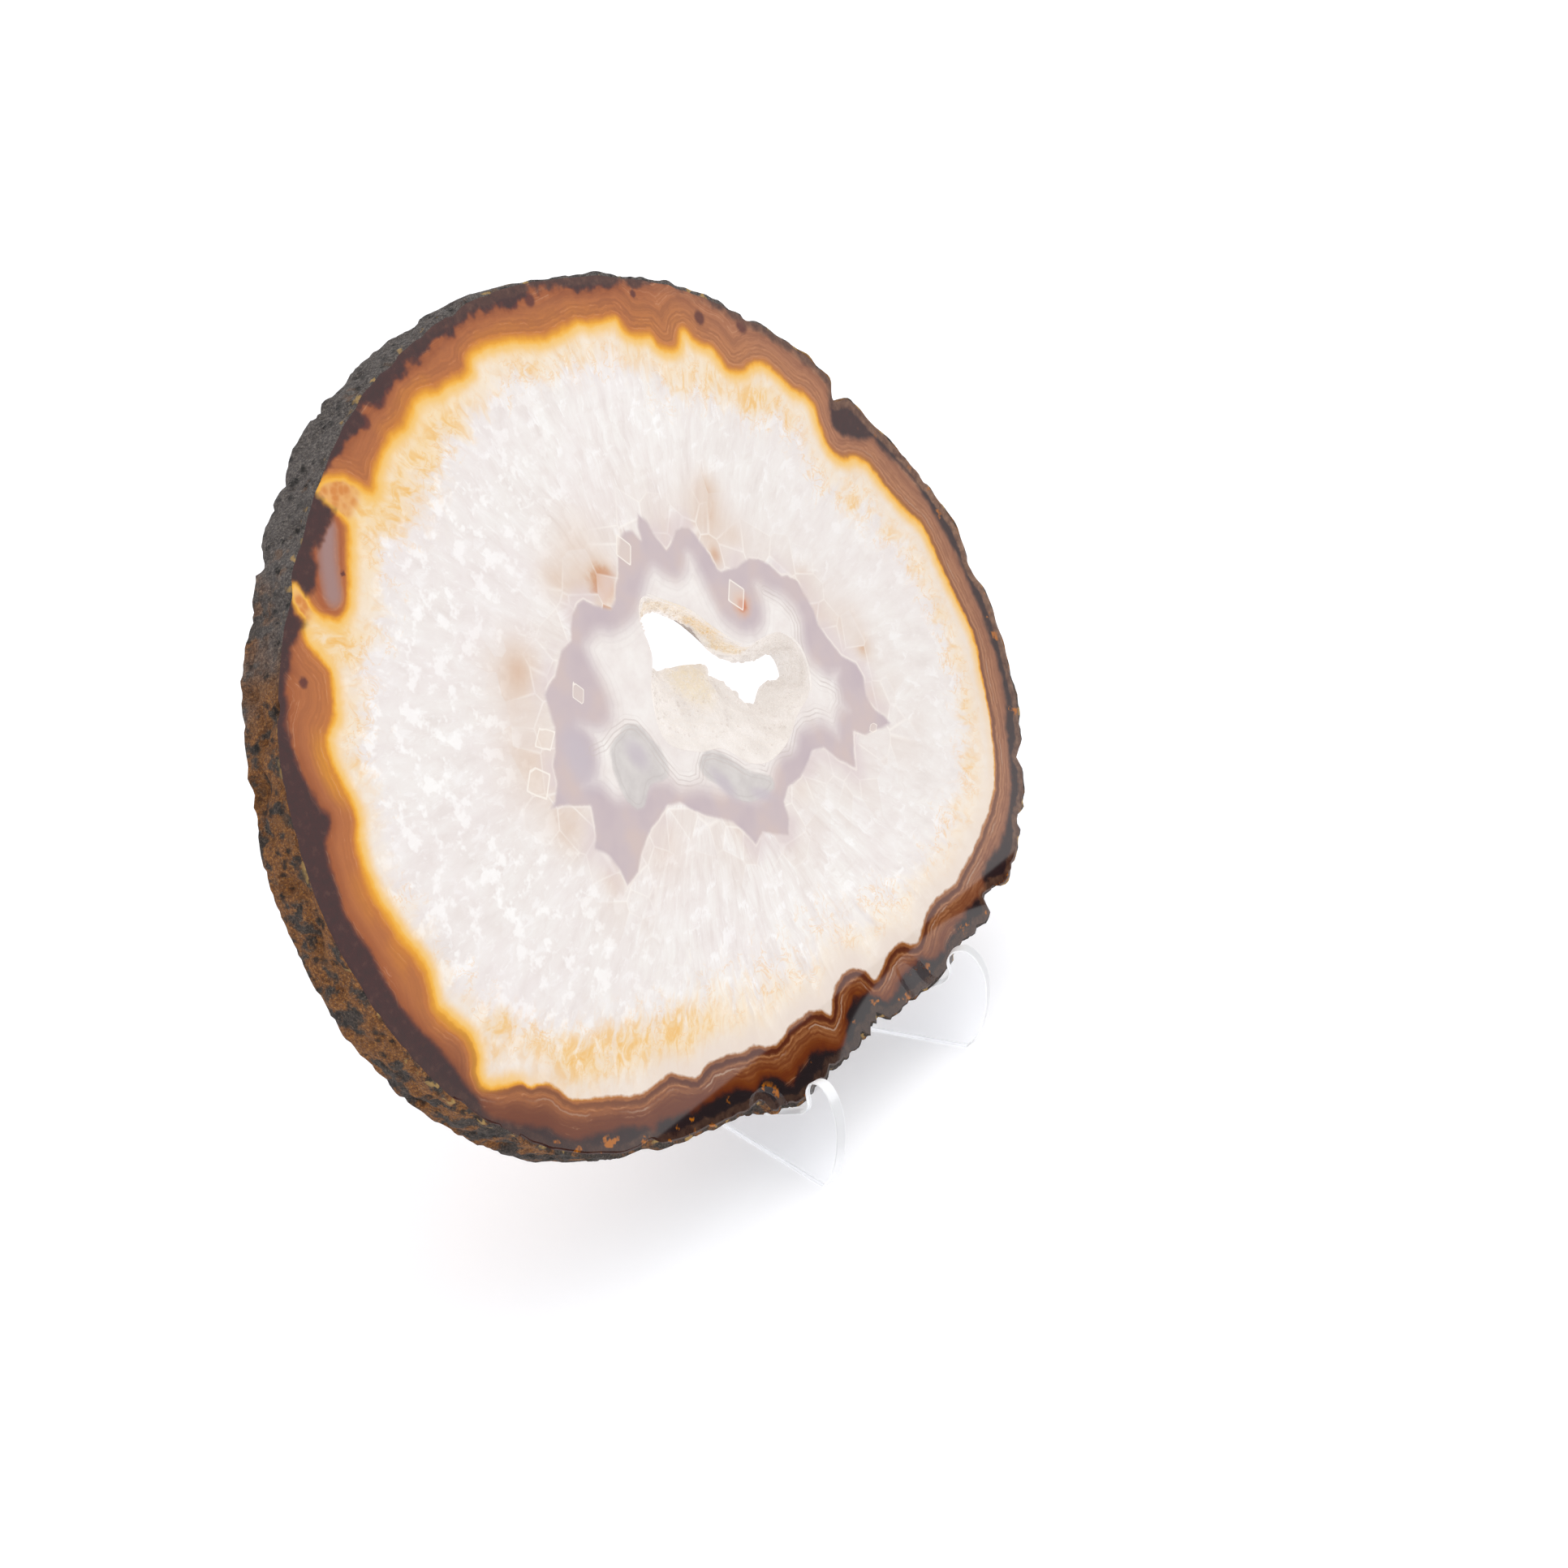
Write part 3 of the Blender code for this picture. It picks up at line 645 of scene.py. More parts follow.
        "gold": [0.85, 0.85, 0.85, 0.85, 0.9, 0.95, 1.0, 1.05, 1.05, 0.9, 0.75, 0.8, 1.15, 1.2, 0.15, 0.0,
            0.0, 0.0, 0.0, 0.0, 0.0, 0.0, 0.25, 0.65],
        "fringe": [9, 9, 8, 7, 9, 8, 6, 10, 14, 11, 11, 10],
        "lines": [0.5, 0.5, 0.45, 0.35, 0.3, 0.25, 0.15, 0.5, 0.9, 0.9, 0.8, 0.6],
        "skin": [0.8, 0.4, 0.15, 0.15, 0.0, 0.0, 0.0, 0.1, 0.2, 0.15, 0.2, 0.5],
    },
}


def closedCurve(points, steps):
    points = [Vector(p) for p in points]
    count = len(points) * steps
    return np.array([throughPoints(points, k / steps) for k in range(count)])


def distanceTo(places, line, closed):
    # How far each place is from a line, and on which side: plus is on the left, or inside.
    ends = np.roll(line, -1, axis=0) if closed else line[1:]
    starts = line if closed else line[:-1]
    nearest = np.full(len(places), 1e9)
    side = np.ones(len(places))
    inside = np.zeros(len(places), dtype=bool)
    x, y = places[:, 0], places[:, 1]
    for (ax, ay), (bx, by) in zip(starts, ends):
        dx, dy = bx - ax, by - ay
        t = np.clip(((x - ax) * dx + (y - ay) * dy) / (dx * dx + dy * dy + 1e-9), 0, 1)
        gap = (x - ax - t * dx) ** 2 + (y - ay - t * dy) ** 2
        closer = gap < nearest
        nearest = np.where(closer, gap, nearest)
        cross = dx * (y - ay) - dy * (x - ax)
        side = np.where(closer, np.sign(cross), side)
        if closed:
            crossing = ((ay > y) != (by > y)) & (x < (bx - ax) * (y - ay) / (by - ay + 1e-12) + ax)
            inside ^= crossing
    if closed:
        side = np.where(inside, 1.0, -1.0)
    return np.sqrt(nearest) * side


def roundTable(table, degrees):
    position = (degrees % 360) / 360 * len(table)
    low = np.floor(position).astype(int)
    share = position - low
    share = share * share * (3 - 2 * share)
    table = np.array(table)
    return table[low % len(table)] * (1 - share) + table[(low + 1) % len(table)] * share


def spotSum(places, spots):
    total = np.zeros(len(places))
    for u, v, size, strength in spots:
        gap = np.hypot(places[:, 0] - u, places[:, 1] - v)
        total += strength * np.exp(-(gap / size) ** 2)
    return total


def markSlice(piece):
    # Each point learns where it is on the face and how far it is from every marking.
    mesh = piece.data
    local = np.empty(len(mesh.vertices) * 3)
    mesh.vertices.foreach_get("co", local)
    local = local.reshape(-1, 3) / mm
    depth = -local[:, 2]
    distance = np.hypot(local[:, 0], local[:, 1])
    drift = np.clip(depth / slicePlan["thickness"], 0, 1) * np.clip(1.6 - distance / 45, 0, 1)
    origin, shift = markPlan["origin"], markPlan["drift"]
    x = local[:, 0] + origin[0] - shift[0] * drift
    y = local[:, 1] + origin[1] - shift[1] * drift
    places = np.stack([x, y], axis=1)
    centre = markPlan["spokeCentre"]
    degrees = np.degrees(np.arctan2(y - centre[1], x - centre[0]))
    outline = np.array([point[:2] for point in rimRing(0)]) / mm + np.array(origin)
    crystal = np.full(len(places), 9.0)
    for u, v, wide, tall in markPlan["pointCrystals"]:
        crystal = np.minimum(crystal, np.abs(x - u) / wide + np.abs(y - v) / tall)
    dot = np.full(len(places), 9.0)
    for u, v, size in markPlan["dots"]:
        dot = np.minimum(dot, np.hypot(x - u, y - v) / size)
    core = np.full(len(places), 9.0)
    for u, v, wide, tall, tilt in markPlan["cores"]:
        turn = math.radians(tilt)
        along = (x - u) * math.cos(turn) + (y - v) * math.sin(turn)
        across = (y - v) * math.cos(turn) - (x - u) * math.sin(turn)
        core = np.minimum(core, np.hypot(along / wide, across / tall))
    eye = np.full(len(places), -99.0)
    for eyeOutline in markPlan["eyes"]:
        eye = np.maximum(eye, distanceTo(places, closedCurve(eyeOutline, 3), True))
    nodule = distanceTo(places, np.array(markPlan["nodule"], dtype=float), False)
    fields = {
        "toBand": distanceTo(places, closedCurve(markPlan["bandInner"], 2), True),
        "toDark": distanceTo(places, closedCurve(markPlan["darkInner"], 1), True),
        "toRim": distanceTo(places, outline, True),
        "ringOut": distanceTo(places, np.array(markPlan["ringOuter"], dtype=float), True),
        "ringIn": distanceTo(places, closedCurve(markPlan["ringInner"], 2), True),
        "toWall": distanceTo(places, np.array(markPlan["wallLine"], dtype=float), False),
        "tanTone": spotSum(places, markPlan["tanSpots"]),
        "crystal": crystal,
        "eye": eye,
        "core": core,
        "dot": dot,
        "goldTone": spotSum(places, markPlan["goldSpots"]),
        "nodule": np.abs(nodule) / markPlan["noduleWidth"],
    }
    for name, table in markPlan["round"].items():
        fields[name] = roundTable(table, degrees)
    for name, values in fields.items():
        layer = mesh.attributes.new(name, "FLOAT", "POINT")
        layer.data.foreach_set("value", values.astype(np.float32))
    layer = mesh.attributes.new("place", "FLOAT_VECTOR", "POINT")
    spot = np.stack([x, y, -depth], axis=1)
    layer.data.foreach_set("vector", spot.astype(np.float32).ravel())


# Node helpers: each adds one node to the tree being drawn and gives back its output.
drawing = {"tree": None}


def tint(red, green, blue, gloss=0.047):
    # A colour as the eye sees it, from 0 to 255, made linear, less what the polish adds to it.
    linear = [((c / 255 + 0.055) / 1.055) ** 2.4 for c in (red, green, blue)]
    return tuple(max(0.003, c - gloss) for c in linear) + (1,)


def plainTint(red, green, blue):
    return tint(red, green, blue, 0.0)


def newNode(kind):
    return drawing["tree"].nodes.new("ShaderNode" + kind)


def feed(target, value):
    if isinstance(value, bpy.types.NodeSocket):
        drawing["tree"].links.new(value, target)
    else:
        target.default_value = value


def maths(operation, *values, clamp=False):
    node = newNode("Math")
    node.operation = operation
    node.use_clamp = clamp
    for target, value in zip(node.inputs, values):
        feed(target, value)
    return node.outputs[0]


def times(*values, clamp=False):
    product = values[0]
    for value in values[1:-1]:
        product = maths("MULTIPLY", product, value)
    return maths("MULTIPLY", product, values[-1], clamp=clamp)


def plus(a, b):
    return maths("ADD", a, b)


def minus(a, b):
    return maths("SUBTRACT", a, b)


def scaled(value, factor, shift):
    return maths("MULTIPLY_ADD", value, factor, shift)


def vectorMaths(operation, a, b=(0, 0, 0), output=0):
    node = newNode("VectorMath")
    node.operation = operation
    feed(node.inputs[0], a)
    feed(node.inputs[1], b)
    return node.outputs[output]


def joined(x, y, z):
    node = newNode("CombineXYZ")
    for target, value in zip(node.inputs, (x, y, z)):
        feed(target, value)
    return node.outputs[0]


def parted(vector):
    node = newNode("SeparateXYZ")
    feed(node.inputs[0], vector)
    return node.outputs


def gapTo(place, spot, stretch=None):
    gap = vectorMaths("SUBTRACT", place, spot)
    if stretch:
        gap = vectorMaths("MULTIPLY", gap, stretch)
    return vectorMaths("LENGTH", gap, output="Value")


def ease(value, low, high, last=1.0, first=0.0):
    # A soft step from first to last while the value goes from low to high.
    node = newNode("MapRange")
    node.interpolation_type = "SMOOTHSTEP"
    names = ("Value", "From Min", "From Max", "To Min", "To Max")
    for name, number in zip(names, (value, low, high, first, last)):
        feed(node.inputs[name], number)
    return node.outputs["Result"]


def window(value, low, high, top, end):
    # Up between the first two values, and down again between the last two.
    return times(ease(value, low, high), ease(value, top, end))


def mixTint(mask, a, b):
    node = newNode("Mix")
    node.data_type = "RGBA"
    for place, value in ((0, mask), (6, a), (7, b)):
        feed(node.inputs[place], value)
    return node.outputs[2]


def paint(mask, below, red, green, blue):
    return mixTint(mask, below, tint(red, green, blue))


def rampOf(value, stops):
    node = newNode("ValToRGB")
    elements = node.color_ramp.elements
    while len(elements) < len(stops):
        elements.new(0.5)
    for element, (place, colour) in zip(elements, stops):
        element.position = place
        element.color = colour
    feed(node.inputs[0], value)
    return node.outputs[0]


def tintRamp(value, *stops, shade=tint):
    return rampOf(value, [(place, shade(*colour)) for place, *colour in stops])


def noiseOf(vector, scale, detail=2.0, roughness=0.5, distortion=0.0):
    node = newNode("TexNoise")
    names = ("Vector", "Scale", "Detail", "Roughness", "Distortion")
    for name, value in zip(names, (vector, scale, detail, roughness, distortion)):
        feed(node.inputs[name], value)
    return node.outputs["Fac"]


def cellsOf(vector, scale, output="Distance", feature="F1", randomness=1.0):
    node = newNode("TexVoronoi")
    node.feature = feature
    for name, value in (("Vector", vector), ("Scale", scale), ("Randomness", randomness)):
        feed(node.inputs[name], value)
    return node.outputs[output]


def markOf(name, output="Fac"):
    node = newNode("Attribute")
    node.attribute_name = name
    return node.outputs[output]


def makeAgatePattern():
    # The slice's markings, for both of its cut sides.
    tree = bpy.data.node_groups.new("agatePattern", "ShaderNodeTree")
    tree.interface.new_socket("Colour", in_out="OUTPUT", socket_type="NodeSocketColor")
    drawing["tree"] = tree
    place = markOf("place", "Vector")
    toBand = markOf("toBand")
    toDark = markOf("toDark")
    gold = markOf("gold")

    # Spokes: a noise drawn out along the radius.
    fromCentre = vectorMaths("SUBTRACT", place, markPlan["spokeCentre"])
    reach = vectorMaths("LENGTH", fromCentre, output="Value")
    heading = vectorMaths("NORMALIZE", fromCentre)
    bend = noiseOf(place, 0.06, 2.0)
    spoke = vectorMaths("ADD", vectorMaths("MULTIPLY", heading, (16, 16, 16)),
                        joined(times(bend, 2.2), 0.0, times(reach, 0.085)))
    streaks = noiseOf(spoke, 1.3, 4.0, 0.6)
    fineStreaks = noiseOf(spoke, 3.6, 3.0, 0.6)
    clouds = noiseOf(place, 0.055, 3.0, 0.55)
    flecks = noiseOf(vectorMaths("ADD", place, joined(times(streaks, 9.0), 0.0, 0.0)), 0.27, 4.0, 0.6, 0.4)

    # White quartz.
    quartz = tintRamp(streaks, (0.25, 224, 215, 210), (0.42, 235, 228, 224), (0.58, 241, 237, 233),
                      (0.75, 248, 246, 244))
    quartz = paint(ease(flecks, 0.54, 0.68, 0.75), quartz, 252, 251, 250)
    quartz = paint(ease(flecks, 0.46, 0.30, 0.5), quartz, 226, 216, 210)
    blocks = noiseOf(place, 0.24, 3.0, 0.6)
    leftSide = ease(vectorMaths("DOT_PRODUCT", heading, (-0.95, 0.3, 0.0), 1), 0.15, 0.8)
    leftSide = times(leftSide, ease(reach, 28.0, 48.0))
    quartz = paint(times(leftSide, 0.4), quartz, 232, 225, 222)
    quartz = paint(times(ease(blocks, 0.52, 0.62, 0.75), leftSide), quartz, 251, 249, 247)
    quartz = paint(ease(clouds, 0.35, 0.75, 0.35), quartz, 233, 222, 222)
    quartz = paint(ease(fineStreaks, 0.58, 0.74, 0.4), quartz, 253, 252, 251)
    rightSide = ease(vectorMaths("DOT_PRODUCT", heading, (1.0, 0.0, 0.0), 1), 0.3, 0.9, 0.4)
    quartz = paint(rightSide, quartz, 230, 223, 219)

    # Tan crystals and their facets, round the ring.
    ringOut = markOf("ringOut")
    ringIn = markOf("ringIn")
    wobble = scaled(noiseOf(place, 0.45, 3.0, 0.6), 1.6, -0.8)
    nearRing = ease(ringOut, -16.0, -1.0)
    facetTone = cellsOf(place, 0.16, "Color", "F1", 0.95)
    facetLine = cellsOf(place, 0.16, "Distance", "DISTANCE_TO_EDGE", 0.95)
    facetLight = times(vectorMaths("LENGTH", facetTone, output="Value"), 0.6)
    tan = times(markOf("tanTone"), ease(plus(facetLight, times(flecks, 0.5)), 0.45, 1.05, 1.15, 0.35))
    facets = paint(times(nearRing, ease(facetLight, 0.3, 0.9, 0.0, 0.5)), quartz, 224, 210, 201)
    facets = paint(times(tan, 0.85, clamp=True), facets, 217, 190, 168)
    facets = paint(ease(tan, 0.75, 1.6), facets, 205, 156, 124)
    thin = times(ease(facetLine, 0.045, 0.0), ease(ringOut, -9.0, -0.5))
    facets = paint(times(thin, 0.55), facets, 247, 241, 235)

    # The lilac ring and the cream field inside it.
    ringSide = plus(ringOut, times(wobble, 0.35))
    ringEdge = ease(ringSide, -0.35, 0.7)
    innerSide = plus(ringIn, times(wobble, 0.5))
    lilacDepth = noiseOf(place, 0.12, 2.0)
    lilac = tintRamp(lilacDepth, (0.3, 196, 181, 186), (0.5, 202, 187, 189), (0.7, 208, 190, 186))
    inner = tintRamp(noiseOf(place, 0.2, 4.0, 0.6), (0.3, 230, 221, 217), (0.5, 236, 229, 225),
                     (0.7, 241, 236, 232))
    contour = maths("SINE", times(innerSide, 5.2))
    inner = paint(times(ease(contour, 0.2, 1.0, 0.28), ease(innerSide, 6.0, 0.5)), inner, 214, 205, 202)
    ringFade = ease(innerSide, 3.4, -1.2)
    field = mixTint(ringFade, inner, lilac)
    colour = mixTint(ringEdge, facets, field)
    mist = times(ease(ringSide, -4.5, 0.2, 0.7), ease(ringSide, 0.7, -0.35),
                 ease(noiseOf(place, 0.07, 2.0), 0.44, 0.58))
    colour = paint(mist, colour, 219, 204, 204)
    rimLine = times(ease(maths("ABSOLUTE", ringSide), 0.32, 0.05),
                    ease(noiseOf(place, 0.1, 2.0), 0.42, 0.55, 0.6))
    colour = paint(rimLine, colour, 240, 231, 224)

    # Eyes and the fine lines round the hollow.
    eye = plus(markOf("eye"), times(wobble, 0.5))
    eyeWave = maths("COSINE", times(eye, 6.6))
    eyeTone = tintRamp(noiseOf(place, 0.35, 3.0), (0.35, 203, 197, 195), (0.65, 213, 208, 205))
    eyeLines = times(ease(eyeWave, 0.2, 1.0, 0.5), ease(eye, 2.4, 0.2))
    eyeTone = paint(eyeLines, eyeTone, 192, 184, 181)
    colour = mixTint(ease(eye, -0.35, 0.5, 0.9), colour, eyeTone)
    core = plus(markOf("core"), times(wobble, 0.25))
    colour = paint(ease(core, 1.6, 0.3, 0.75), colour, 198, 188, 195)
    toWall = plus(markOf("toWall"), times(wobble, 0.3))
    wallGap = maths("ABSOLUTE", toWall)
    wallWave = maths("COSINE", times(toWall, 7.6))
    wallLines = times(ease(wallWave, 0.2, 0.95, 0.5), ease(wallGap, 2.2, 0.4),
                      ease(noiseOf(place, 0.13, 2.0), 0.36, 0.55, 1.0, 0.25))
    colour = paint(wallLines, colour, 200, 187, 182)
    rust = gapTo(place, (13.3, 93.3, 0.0))
    rust = plus(rust, times(wobble, 0.8))
    colour = paint(ease(rust, 3.4, 0.8, 0.75), colour, 216, 168, 138)
    colour = paint(ease(rust, 1.7, 0.5, 0.85), colour, 200, 112, 74)
    rhomb = markOf("crystal")
    colour = paint(ease(rhomb, 1.02, 0.98, 0.45), colour, 232, 218, 206)
    outlineRhomb = window(rhomb, 0.84, 0.93, 1.06, 0.97)
    colour = paint(times(outlineRhomb, 0.8), colour, 246, 239, 231)

    # Cream fringe, golden feathers and golden glow inside the band.
    scallop = scaled(noiseOf(place, 0.42, 3.0, 0.55), 1.5, -0.75)
    edge = plus(toBand, times(scallop, 0.8))
    feathers = noiseOf(vectorMaths("MULTIPLY", spoke, (1.0, 1.0, 1.5)), 2.3, 3.0, 0.55, 0.9)
    patches = noiseOf(place, 0.09, 3.0, 0.6)
    reachOfFringe = times(markOf("fringe"), ease(streaks, 0.3, 0.7, 1.2, 0.72))
    share = maths("DIVIDE", edge, reachOfFringe)
    cream = times(ease(share, 1.0, 0.3), markOf("cream"))
    cream = times(cream, ease(patches, 0.25, 0.7, 1.0, 0.55))
    colour = paint(times(cream, 0.9, clamp=True), colour, 242, 217, 176)
    hump = times(ease(share, 0.05, 0.5, 1.0, 0.35), ease(share, 1.15, 0.75))
    goldTone = markOf("goldTone")
    plenty = plus(times(markOf("feather"), hump), goldTone)
    barbs = times(ease(feathers, 0.45, 0.7), plenty)
    softGold = times(ease(plenty, 0.2, 1.4, 0.75), ease(feathers, 0.3, 0.6, 1.0, 0.45))
    colour = paint(softGold, colour, 238, 202, 140)
    colour = paint(times(barbs, 0.5, clamp=True), colour, 236, 184, 104)
    veinNoise = noiseOf(place, 0.3, 4.0, 0.62, 0.8)
    veins = ease(maths("ABSOLUTE", minus(veinNoise, 0.5)), 0.035, 0.0)
    veinPlace = times(window(share, 0.15, 0.5, 1.5, 0.9), ease(patches, 0.42, 0.58))
    colour = paint(times(veins, veinPlace, 0.5), colour, 238, 190, 122)
    rubble = gapTo(place, (-65.0, 144.6, 0.0), (0.7, 1.1, 0.0))
    sliver = gapTo(place, (-80.6, 133.4, 0.0))
    rubble = maths("MINIMUM", rubble, plus(sliver, 1.4))
    nuggets = cellsOf(vectorMaths("ADD", place, joined(wobble, veinNoise, 0.0)), 0.62)
    nuggets = times(ease(nuggets, 0.75, 0.2), ease(rubble, 4.6, 2.2))
    halo = times(ease(edge, 6.0, 0.8, 0.85), markOf("grey"))
    colour = paint(times(halo, ease(patches, 0.3, 0.6, 1.0, 0.7)), colour, 226, 212, 203)
    glow = times(ease(edge, 2.8, 0.1), ease(gold, 0.0, 0.85, 0.92))
    colour = paint(glow, colour, 240, 193, 108)
    colour = paint(ease(rubble, 4.8, 2.5, 0.85), colour, 224, 164, 104)
    colour = paint(times(nuggets, 0.75), colour, 206, 126, 66)

    # Orange band: golden at its inner edge, then browner, greyer and lined along the bottom.
    inBand = times(edge, -1.0)
    drip = scaled(noiseOf(place, 0.33, 2.0, 0.5), 4.4, -2.3)
    darkEdge = plus(markOf("toDark"), times(scallop, 0.5))
    darkEdge = plus(darkEdge, times(drip, markOf("drip")))
    across = maths("DIVIDE", darkEdge, maths("MAXIMUM", plus(darkEdge, inBand), 0.3))
    band = tintRamp(across, (0.0, 124, 74, 58), (0.10, 160, 96, 66), (0.35, 178, 112, 76),
                    (0.7, 186, 118, 76), (1.0, 202, 130, 74))
    greyBand = tintRamp(across, (0.0, 88, 68, 62, 0.058), (0.25, 122, 84, 66, 0.058),
                        (0.6, 152, 112, 88, 0.058), (1.0, 156, 114, 88, 0.058))
    grey = markOf("grey")
    band = mixTint(times(grey, 0.8, clamp=True), band, greyBand)
    # Painted reflection: on the right the band is made paler and greyer, standing in for the haze its polish
    # mirrors from the bright room.
    band = paint(rightSide, band, 182, 144, 120)
    lowLeft = ease(vectorMaths("DOT_PRODUCT", heading, (-0.78, -0.62, 0.0), 1), 0.88, 0.98)
    lowLeft = times(lowLeft, ease(across, 0.8, 0.3, 0.8))
    band = paint(lowLeft, band, 112, 74, 60)
    swirl = noiseOf(place, 0.11, 3.0, 0.6)
    laminae = noiseOf(joined(inBand, times(swirl, 2.4), 0.0), 1.25, 3.0, 0.65)
    lamina = ease(laminae, 0.36, 0.64)
    amber = times(ease(noiseOf(place, 0.085, 2.0), 0.38, 0.58, 0.55), ease(gold, 0.75, 1.15),
                  ease(across, 0.15, 0.75))
    band = paint(amber, band, 208, 136, 60)
    patch = gapTo(place, (-89.0, 109.5, 0.0), (1.0, 0.5, 0.0))
    band = paint(ease(patch, 4.2, 1.2, 0.85), band, 216, 146, 64)
    lineStrength = markOf("lines")
    band = paint(times(minus(1.0, lamina), times(lineStrength, 0.75, clamp=True)), band, 112, 72, 56)
    band = paint(times(ease(laminae, 0.58, 0.75), 0.45), band, 208, 158, 124)
    goldReach = scaled(times(gold, gold), 2.3, 0.5)
    goldMask = ease(inBand, goldReach, 0.1)
    goldTone = tintRamp(goldMask, (0.0, 190, 118, 72), (0.32, 206, 128, 60), (0.68, 228, 157, 59),
                        (0.9, 234, 166, 64), (1.0, 239, 181, 84))
    band = mixTint(times(goldMask, ease(gold, 0.0, 0.4, 1.0, 0.08)), band, goldTone)
    firstLine = window(inBand, 0.5, 0.9, 2.0, 1.3)
    band = paint(times(firstLine, times(grey, 0.9, clamp=True)), band, 98, 68, 54)
    paleLine = times(window(inBand, 2.25, 2.45, 2.75, 2.55), ease(swirl, 0.45, 0.6, 0.55))
    band = paint(times(paleLine, grey), band, 196, 170, 150)
    colour = mixTint(ease(inBand, -0.35, 0.25), colour, band)

    # The loose nodule's lilac heart, and dark dots.
    nodule = plus(markOf("nodule"), times(wobble, 0.2))
    heart = times(ease(nodule, 1.7, 0.2, 0.95), ease(inBand, 0.6, 2.2), ease(darkEdge, -0.3, 1.2))
    colour = paint(heart, colour, 162, 132, 128)
    noduleRim = times(window(nodule, 2.0, 1.5, 1.0, 1.4), ease(inBand, 0.6, 1.6, 0.6))
    colour = paint(noduleRim, colour, 164, 92, 58)
    dot = plus(markOf("dot"), times(wobble, 0.25))
    colour = paint(ease(dot, 1.25, 0.6, 0.85), colour, 96, 62, 54)

    # Near-black skin, and the brown strip outside it.
    mottle = noiseOf(place, 0.6, 4.0, 0.65)
    dark = tintRamp(mottle, (0.3, 76, 61, 63), (0.55, 82, 63, 63), (0.75, 96, 74, 70))
    dark = mixTint(times(grey, 0.9, clamp=True), dark, (0.012, 0.009, 0.010, 1))
    inDark = times(darkEdge, -1.0)
    colour = mixTint(ease(inDark, -1.1, 0.5), colour, dark)
    toRim = markOf("toRim")
    skinEdge = plus(toRim, times(wobble, 0.8))
    skin = tintRamp(mottle, (0.3, 100, 72, 60), (0.5, 136, 104, 86), (0.7, 166, 130, 106))
    skinMask = times(ease(skinEdge, 1.9, 1.2), markOf("skin"))
    colour = mixTint(skinMask, colour, skin)
    chips = times(ease(noiseOf(place, 0.28, 3.0, 0.6), 0.6, 0.68), ease(skinEdge, 4.5, 2.5),
                  ease(grey, 0.1, 0.6))
    colour = paint(times(chips, ease(inDark, 0.0, 0.6)), colour, 176, 112, 58)
    outputs = tree.nodes.new("NodeGroupOutput")
    feed(outputs.inputs["Colour"], colour)
    return tree


def newMaterial(name, settings):
    material = bpy.data.materials.new(name)
    material.use_nodes = True
    drawing["tree"] = material.node_tree
    shader = material.node_tree.nodes["Principled BSDF"]
    for socket, value in settings.items():
        shader.inputs[socket].default_value = value
    return material, shader


def addBump(shader, height, strength, distance):
    bump = newNode("Bump")
    bump.inputs["Strength"].default_value = strength
    bump.inputs["Distance"].default_value = distance
    feed(bump.inputs["Height"], height)
    feed(shader.inputs["Normal"], bump.outputs["Normal"])


def makeCutMaterial(name, roughness, pattern):
    material, shader = newMaterial(name, {"Roughness": roughness, "IOR": 1.54})
    look = newNode("Group")
    look.node_tree = pattern
    feed(shader.inputs["Base Color"], look.outputs["Colour"])
    return material


def makeRindMaterial():
    material, shader = newMaterial("naturalRind", {"Roughness": 0.85})
    place = markOf("place", "Vector")
    grains = noiseOf(place, 2.1, 5.0, 0.8)
    speckle = cellsOf(place, 2.4)
    patches = noiseOf(place, 0.26, 3.0, 0.6)
    broad = noiseOf(place, 0.07, 2.0, 0.5)
    grey = tintRamp(grains, (0.32, 58, 53, 52), (0.5, 98, 91, 88), (0.68, 152, 143, 136), shade=plainTint)
    ochre = tintRamp(grains, (0.32, 78, 45, 20), (0.5, 138, 87, 42), (0.68, 204, 140, 70), shade=plainTint)
    slate = tintRamp(grains, (0.32, 34, 30, 28), (0.5, 66, 56, 50), (0.68, 112, 97, 84), shade=plainTint)
    parts = parted(place)
    height = plus(parts["Y"], scaled(broad, 44.0, -22.0))
    # Ochre and slate in patches below, grey above, and mostly slate at the very bottom.
    ochreShare = ease(plus(patches, ease(height, 30.0, 75.0, 0.06, -0.07)), 0.45, 0.58)
    low = mixTint(ochreShare, slate, ochre)
    colour = mixTint(ease(height, 140.0, 118.0), grey, low)
    rust = ease(noiseOf(place, 0.19, 3.0, 0.6), 0.58, 0.68, 0.35)
    colour = mixTint(rust, colour, plainTint(140, 96, 56))
    colour = mixTint(ease(speckle, 0.30, 0.12, 0.3), colour, plainTint(176, 160, 140))
    warped = vectorMaths("ADD", place, joined(times(grains, 2.6), times(patches, 5.0), times(grains, -2.2)))
    # Painted shade: the small pits, which the bump below sinks, are also darkened nearly to black in colour.
    pits = cellsOf(warped, 0.4)
    colour = mixTint(ease(pits, 0.30, 0.12, 0.85), colour, plainTint(26, 22, 20))
    # Yellow chips along the sawn edge.
    edgeChips = times(ease(parts["Z"], -1.6, -0.5), ease(noiseOf(place, 0.33, 2.0, 0.5), 0.58, 0.64))
    colour = mixTint(times(edgeChips, 0.8), colour, plainTint(206, 166, 98))
    feed(shader.inputs["Base Color"], colour)
    rough = plus(grains, times(speckle, 0.6))
    addBump(shader, plus(rough, ease(pits, 0.1, 0.42)), 0.9, 0.9 * mm)
    return material


